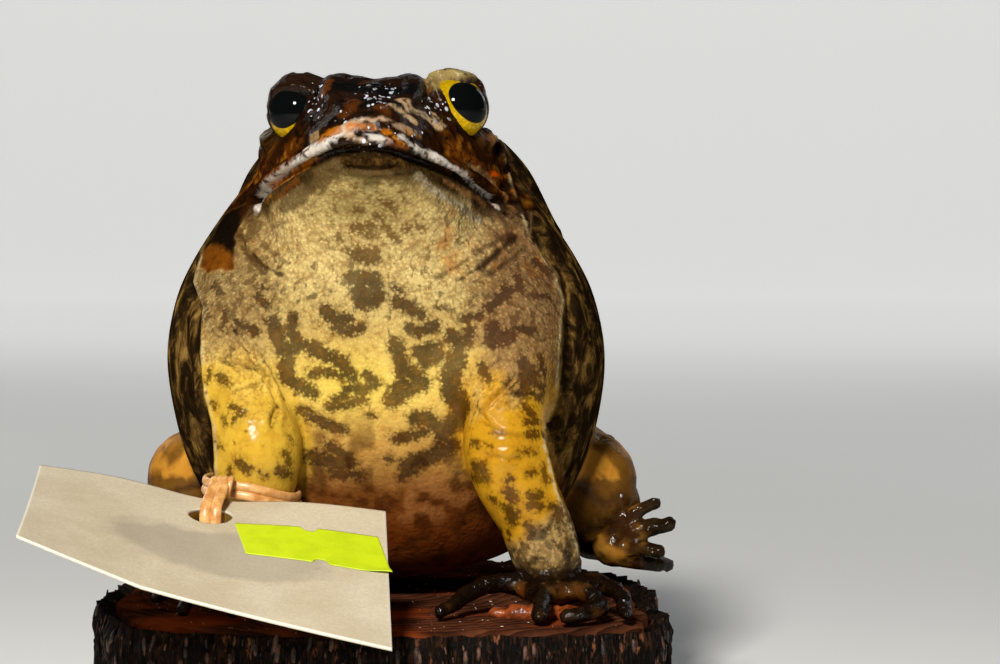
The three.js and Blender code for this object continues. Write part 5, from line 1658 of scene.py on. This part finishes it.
def barkMaterial():
    startMaterial("bark")
    broad = cloud(3.6, 5.0, 0.62, 0.3, (1.0, 1.0, 0.22))
    fine = cloud(0.75, 4.0, 0.6, 0.2, (1.0, 1.0, 0.35))
    fibre = cloud(0.42, 3.0, 0.55, 0.1, (1.0, 1.0, 0.13))
    shade = shades(broad, (0.30, 6, 4, 3), (0.46, 12, 7, 4), (0.56, 22, 12, 7), (0.66, 42, 25, 15),
                   (0.80, 66, 43, 28))
    shade = mixed(between(fibre, 0.5, 0.62, 0.0, 0.5), shade, colour(60, 36, 21))
    shade = mixed(between(maths("MINIMUM", fine, fibre), 0.38, 0.5, 0.85, 0.0), shade, colour(5, 4, 3))
    flake = between(cloud(1.7, stretch=(1.0, 1.0, 0.3)), 0.6, 0.68) * between(fine, 0.45, 0.6)
    return finished(
        Base_Color=mixed(flake, shade, colour(112, 68, 42)), Roughness=between(broad, 0.35, 0.7, 0.6, 0.9),
        Normal=raised(fibre, 0.25, raised(fine, 0.35, raised(broad, 0.6))), Specular_IOR_Level=0.06)


def woodMaterial():
    startMaterial("varnishedWood")
    ring = node("TexWave", {"wave_type": "RINGS", "rings_direction": "Z", "wave_profile": "SAW"},
                Vector=making["place"], Scale=150.0, Distortion=2.2, Detail=3.0, Detail_Scale=0.6)
    grain = cloud(5.5, 5.0, 0.6, 0.4)
    shade = shades(nodeValue(ring.outputs["Fac"]) * 0.3 + grain * 0.7, (0.25, 24, 13, 8), (0.45, 58, 31, 20),
                   (0.6, 82, 45, 28), (0.8, 104, 60, 37))
    shade = mixed(between(cloud(16.0, 2.0), 0.52, 0.66) * 0.7, shade, colour(150, 66, 26))
    dust = between(cells(1.5), 0.04, 0.07, 0.7, 0.0)
    return finished(
        Base_Color=mixed(dust, shade, colour(190, 176, 164)), Roughness=between(grain, 0.3, 0.7, 0.5, 0.7),
        Normal=raised(cloud(1.1, 4.0), 0.12), Specular_IOR_Level=0.0)


barkNodes = [f"log_bark_{i}" for i in range(1, 9)]
bark = newObject("logBark", *makeBark())
dress(bark, barkMaterial(), "bark", *barkNodes)
wood = newObject("logWood", *makeWood())
dress(wood, woodMaterial(), "wood", "log_wood")

flakeGrain = {"perSquareMetre": 3.2e5, "smallest": 0.00010, "largest": 0.00050, "long": 3.2, "thick": 0.5,
              "crumpled": 0.8, "roundness": 1, "upright": True, "seed": 21}
speckGrain = {"perSquareMetre": 5e4, "smallest": 0.00006, "largest": 0.00026, "long": 1.2, "thick": 0.4,
              "crumpled": 0.6, "roundness": 1, "upright": False, "seed": 31}
x, y, z = (pointsOf(bark.data) / mm).T
outside = np.hypot(x, y) - rimAt(np.arctan2(y, x))
giveNumbers(bark.data, "ragged", (outside > -1.2) * (0.3 + 0.7 * eased(z, 14, 18)) * (z < 19.2))
giveNumbers(wood.data, "dusty", (pointsOf(wood.data)[:, 2] / mm > logTop - 0.5) * 1.0)
flaky = grainMaterial("barkFlake", colour(84, 53, 34), colour(22, 13, 8), 0.6)
dust = grainMaterial("dust", colour(228, 218, 206), colour(180, 160, 140), 0.6)
dress(strew("barkFlakes", bark, "ragged", flakeGrain, flaky), flaky, "bark", *barkNodes)
dress(strew("woodSpecks", wood, "dusty", speckGrain, dust), dust, "wood", "log_wood")
print("log ready")


# card tag and the sticker on it

tag = {
    "topLeft": (-46.6, -26, 21.1), "topRight": (3.2, -29, 15.1),
    "lowLeft": (-42.3, -65, 13.9), "lowRight": (7.4, -68, 1.7),
    "cornerLift": 1.9, "sagAtHole": 1.7, "sagBelow": 0.6,
    "thickness": 0.42, "hole": (0.5, 0.167), "holeRadius": 3.1,
    "columns": 150, "rows": 110,
    "cardShade": colour(206, 194, 168), "edgeShade": colour(226, 217, 198),
}
sticker = {"left": 0.57, "right": 0.975, "top": 0.22, "bottom": 0.49, "skew": 0.035, "thickness": 0.14,
           "notch": 0.52, "notchRadius": 1.25, "shade": colour(196, 216, 14)}


def onTag(across, down, lift=0.0):
    across, down = np.broadcast_arrays(np.asarray(across, float), np.asarray(down, float))
    corners = ("topLeft", "topRight", "lowLeft", "lowRight")
    a, b, c, d = [np.array(tag[key], float) + [0, 0, logTop] for key in corners]
    u, v = across[..., None], down[..., None]
    p = (a * (1 - u) + b * u) * (1 - v) + (c * (1 - u) + d * u) * v
    pulled = tag["sagAtHole"] * hump(across - tag["hole"][0], 0.2) * (1 - down)
    curled = tag["cornerLift"] * np.maximum(0, 1 - across * 3) * down**2
    p[..., 2] += lift + curled - pulled - tag["sagBelow"] * np.sin(math.pi * across) * down
    return p


def makeTagPlate(name, across, down, low, high):
    top = onTag(across, down, high)
    bottom = onTag(across, down, low)
    points, faces = plate(top, bottom)
    piece = newObject(name, points, faces)
    both = np.concatenate([np.stack([across, down], axis=-1).reshape(-1, 2)] * 2)
    giveNumbers(piece.data, "across", both[:, 0])
    giveNumbers(piece.data, "down", both[:, 1])
    return piece


def punchCard(card):
    hole = onTag(*tag["hole"]) * mm
    turn = fullTurn(64)
    upright = unit([0, -0.25, 1.0])
    side = unit(np.cross([0, 1.0, 0], upright))
    other = np.cross(upright, side)
    circle = tag["holeRadius"] * (np.cos(turn)[:, None] * side + np.sin(turn)[:, None] * other)
    rings = np.array([circle + upright * k for k in (-3, 3)]) + hole / mm
    punch = newObject("punch", *loft(rings, hole / mm - upright * 3, hole / mm + upright * 3))
    cut = card.modifiers.new("hole", "BOOLEAN")
    cut.object = punch
    cut.operation = "DIFFERENCE"
    cut.solver = "EXACT"
    evaluatedMesh(card)
    bpy.data.objects.remove(punch)


def cardMaterial():
    startMaterial("card")
    across, down = carried("across"), carried("down")
    fibre, stain = cloud(0.5, 5.0, 0.7), cloud(14.0)
    shade = mixed(between(stain, 0.35, 0.7), tag["cardShade"], colour(190, 176, 148))
    shade = mixed(between(fibre, 0.4, 0.62, 0.22, 0.0), shade, colour(150, 132, 104))
    # soft grey oval in the middle
    squares = [maths("POWER", maths("ABSOLUTE", (way - middle) / half), 2.0)
               for way, middle, half in ((across, 0.52, 0.34), (down, 0.53, 0.22))]
    oval = maths("SQRT", squares[0] + squares[1]) + (cloud(6.0, 4.0) - 0.5) * 0.7
    shade = mixed(between(oval, 0.75, 1.05, 0.5, 0.0), shade, colour(140, 130, 116))
    rims = [maths("MINIMUM", way, 1.0 - way) for way in (across, down)]
    shade = mixed(between(maths("MINIMUM", *rims), 0.0, 0.009, 0.8, 0.0), shade, tag["edgeShade"])
    return finished(Base_Color=shade, Roughness=0.62, Normal=raised(fibre, 0.05, raised(stain, 0.3)))


def stickerMaterial():
    startMaterial("stickerPaper")
    worn = cloud(4.0, 4.0)
    return finished(
        Base_Color=mixed(between(worn, 0.4, 0.7), sticker["shade"], colour(182, 204, 8)), Roughness=0.5,
        Normal=raised(cloud(0.4, 4.0), 0.02, raised(worn, 0.12)))


across, down = np.meshgrid(np.linspace(0, 1, tag["columns"] + 1), np.linspace(0, 1, tag["rows"] + 1))
card = makeTagPlate("cardTag", across, down, 0.0, tag["thickness"])
punchCard(card)
dress(card, cardMaterial(), "card", "tag_card")

across, down = np.meshgrid(np.linspace(0, 1, 91), np.linspace(0, 1, 41))
off = (across - sticker["notch"]) * 22 / sticker["notchRadius"]
notch = sticker["notchRadius"] / 26 * np.sqrt(np.maximum(0, 1 - off**2)) * 2.2
down = notch + down * (1 - 2 * notch)
alongCard = sticker["left"] + (sticker["right"] - sticker["left"]) * across + sticker["skew"] * down
downCard = sticker["top"] + (sticker["bottom"] - sticker["top"]) * down
# its lower right corner has come away
curl = 0.5 * eased(across + down, 1.78, 2.0)
label = makeTagPlate("sticker", alongCard, downCard, tag["thickness"] + 0.03 + curl,
                     tag["thickness"] + sticker["thickness"] + curl)
dress(label, stickerMaterial(), "sticker", "tag_sticker")
print("tag ready")


# rubber band: round the forearm, wrapped in a knot, and through the tag's hole

band = {
    "strand": (0.8, 0.42),
    "knot": (-20.4, -27.4, 18.6),
    "knotTurns": 4,
    "knotPitch": 0.8,
    "apart": 0.75,
    "forearm": (-17.0, -19.4, 17.2),
    "reach": 6.75,
}


def tube(points, across, thick, sides=14, count=120):
    # flat strand along a smooth line through the points
    line = np.asarray(points, float)
    number = len(line)
    place = np.linspace(0, number, count, endpoint=False)
    first = place.astype(int)
    f = (place - first)[:, None]
    a, b, c, d = [line[(first + k) % number] for k in (-1, 0, 1, 2)]
    spine = 0.5 * (2 * b + (c - a) * f + (2 * a - 5 * b + 4 * c - d) * f**2 + (3 * b - a - 3 * c + d) * f**3)
    heading = unit(np.roll(spine, -1, 0) - np.roll(spine, 1, 0))
    side = unit(np.cross(heading[0], [0.1, 0.2, 1.0]))
    sideways = []
    for h in heading:
        side = unit(side - h * side.dot(h))
        sideways.append(side)
    # what the strand has turned by at its end is shared out along it
    last = unit(sideways[-1] - heading[0] * sideways[-1].dot(heading[0]))
    drift = math.atan2(np.cross(last, sideways[0]).dot(heading[0]), last.dot(sideways[0]))
    turn = fullTurn(sides)[:, None]
    rings = []
    for i, (p, h, side) in enumerate(zip(spine, heading, sideways)):
        lean = drift * i / count
        one = math.cos(lean) * side + math.sin(lean) * np.cross(h, side)
        rings.append(p + across * np.cos(turn) * one + thick * np.sin(turn) * np.cross(h, one))
    return looped(np.array(rings))


def bandShapes():
    across, thick = band["strand"]
    knot = np.array(band["knot"]) + [0, 0, logTop]
    x, y, z = band["forearm"]
    shapes = []
    for shift, reach in ((0.55, 0.0), (-0.75, 0.12)):
        turn = fullTurn(16)
        height = z - 1.3 * np.cos(turn - 0.4) + logTop + shift + 0.25 * np.sin(3 * turn)
        ring = around(band["reach"] + reach, turn, height) + [x, y, 0]
        shapes.append(tube(ring, thick, across * 0.85, count=160))
    # turns of the knot lie beside each other across it
    for i in range(band["knotTurns"]):
        off = (i - (band["knotTurns"] - 1) / 2) * band["knotPitch"]
        turn = fullTurn(10)
        ring = knot + np.stack([off + 0.25 * np.sin(turn), 1.35 * np.cos(turn), 1.25 * np.sin(turn)], axis=1)
        shapes.append(tube(ring, 0.5, 0.36, count=60, sides=10))
    hole = onTag(*tag["hole"])
    edge = onTag(tag["hole"][0], 0)
    for shift in (-band["apart"], band["apart"]):
        way = [knot + [shift * 0.8, -0.6, 0.9], hole + [shift + 0.3, 3.4, 3.2], hole + [shift, 0.6, 1.5],
               hole + [shift, 0.1, -1.2], hole + [shift, 3.2, -2.5], edge + [shift, 2.2, -1.5],
               edge + [shift + 0.2, 2.4, 0.6], knot + [shift * 0.8, -0.2, -0.9]]
        shapes.append(tube(way, across, thick, count=110))
    return joined(shapes)


def rubberMaterial():
    startMaterial("rubber")
    streak = cloud(1.4, 4.0, 0.6)
    return finished(
        Base_Color=mixed(between(streak, 0.35, 0.7), colour(222, 172, 108), colour(186, 122, 58)),
        Roughness=0.34, Normal=raised(streak, 0.08), Subsurface_Weight=0.25,
        Subsurface_Radius=(0.0012, 0.0007, 0.0003))


rubber = newObject("rubberBand", *bandShapes())
dress(rubber, rubberMaterial(), "band", "band")
print("band ready")


# putty pressed under the left palm

putty = {
    "lumps": [  # aside, back, half width and height
        (-1.2, -3.2, 2.6, 2), (-4.6, -3, 2.4, 1.4), (-7.6, -2.4, 1.8, 1), (2.6, -4.4, 2.2, 1.5)],
    "voxel": 0.18,
    "relaxRounds": 4,
}


def makePutty():
    wrist = arms[1][-1]
    shapes = []
    for x, y, across, tall in putty["lumps"]:
        middle = (wrist[0] + 0.3 + x, palm["ahead"] + y, logTop + 0.1 + tall * 0.25)
        shapes.append(egg(middle, (across, across * 0.8, tall)))
    piece, mesh = fused("putty", shapes, putty["voxel"])
    co = relax(pointsOf(mesh), edgesOf(mesh), evenOut * putty["relaxRounds"])
    setPoints(mesh, co)
    co = co + normalsOf(mesh) * (0.22 * fieldNoise(co, 0.9, 31))[:, None]
    co[:, 2] = np.maximum(co[:, 2], logTop - 0.25)
    setPoints(mesh, co * mm)
    return piece


def puttyMaterial():
    startMaterial("putty")
    blotch = cloud(2.2)
    return finished(
        Base_Color=mixed(between(blotch, 0.35, 0.65), colour(152, 74, 32), colour(86, 36, 13)),
        Roughness=0.28, Specular_IOR_Level=0.2, Normal=raised(blotch, 0.15))


dress(makePutty(), puttyMaterial(), "putty", "putty_left")
print("putty ready")
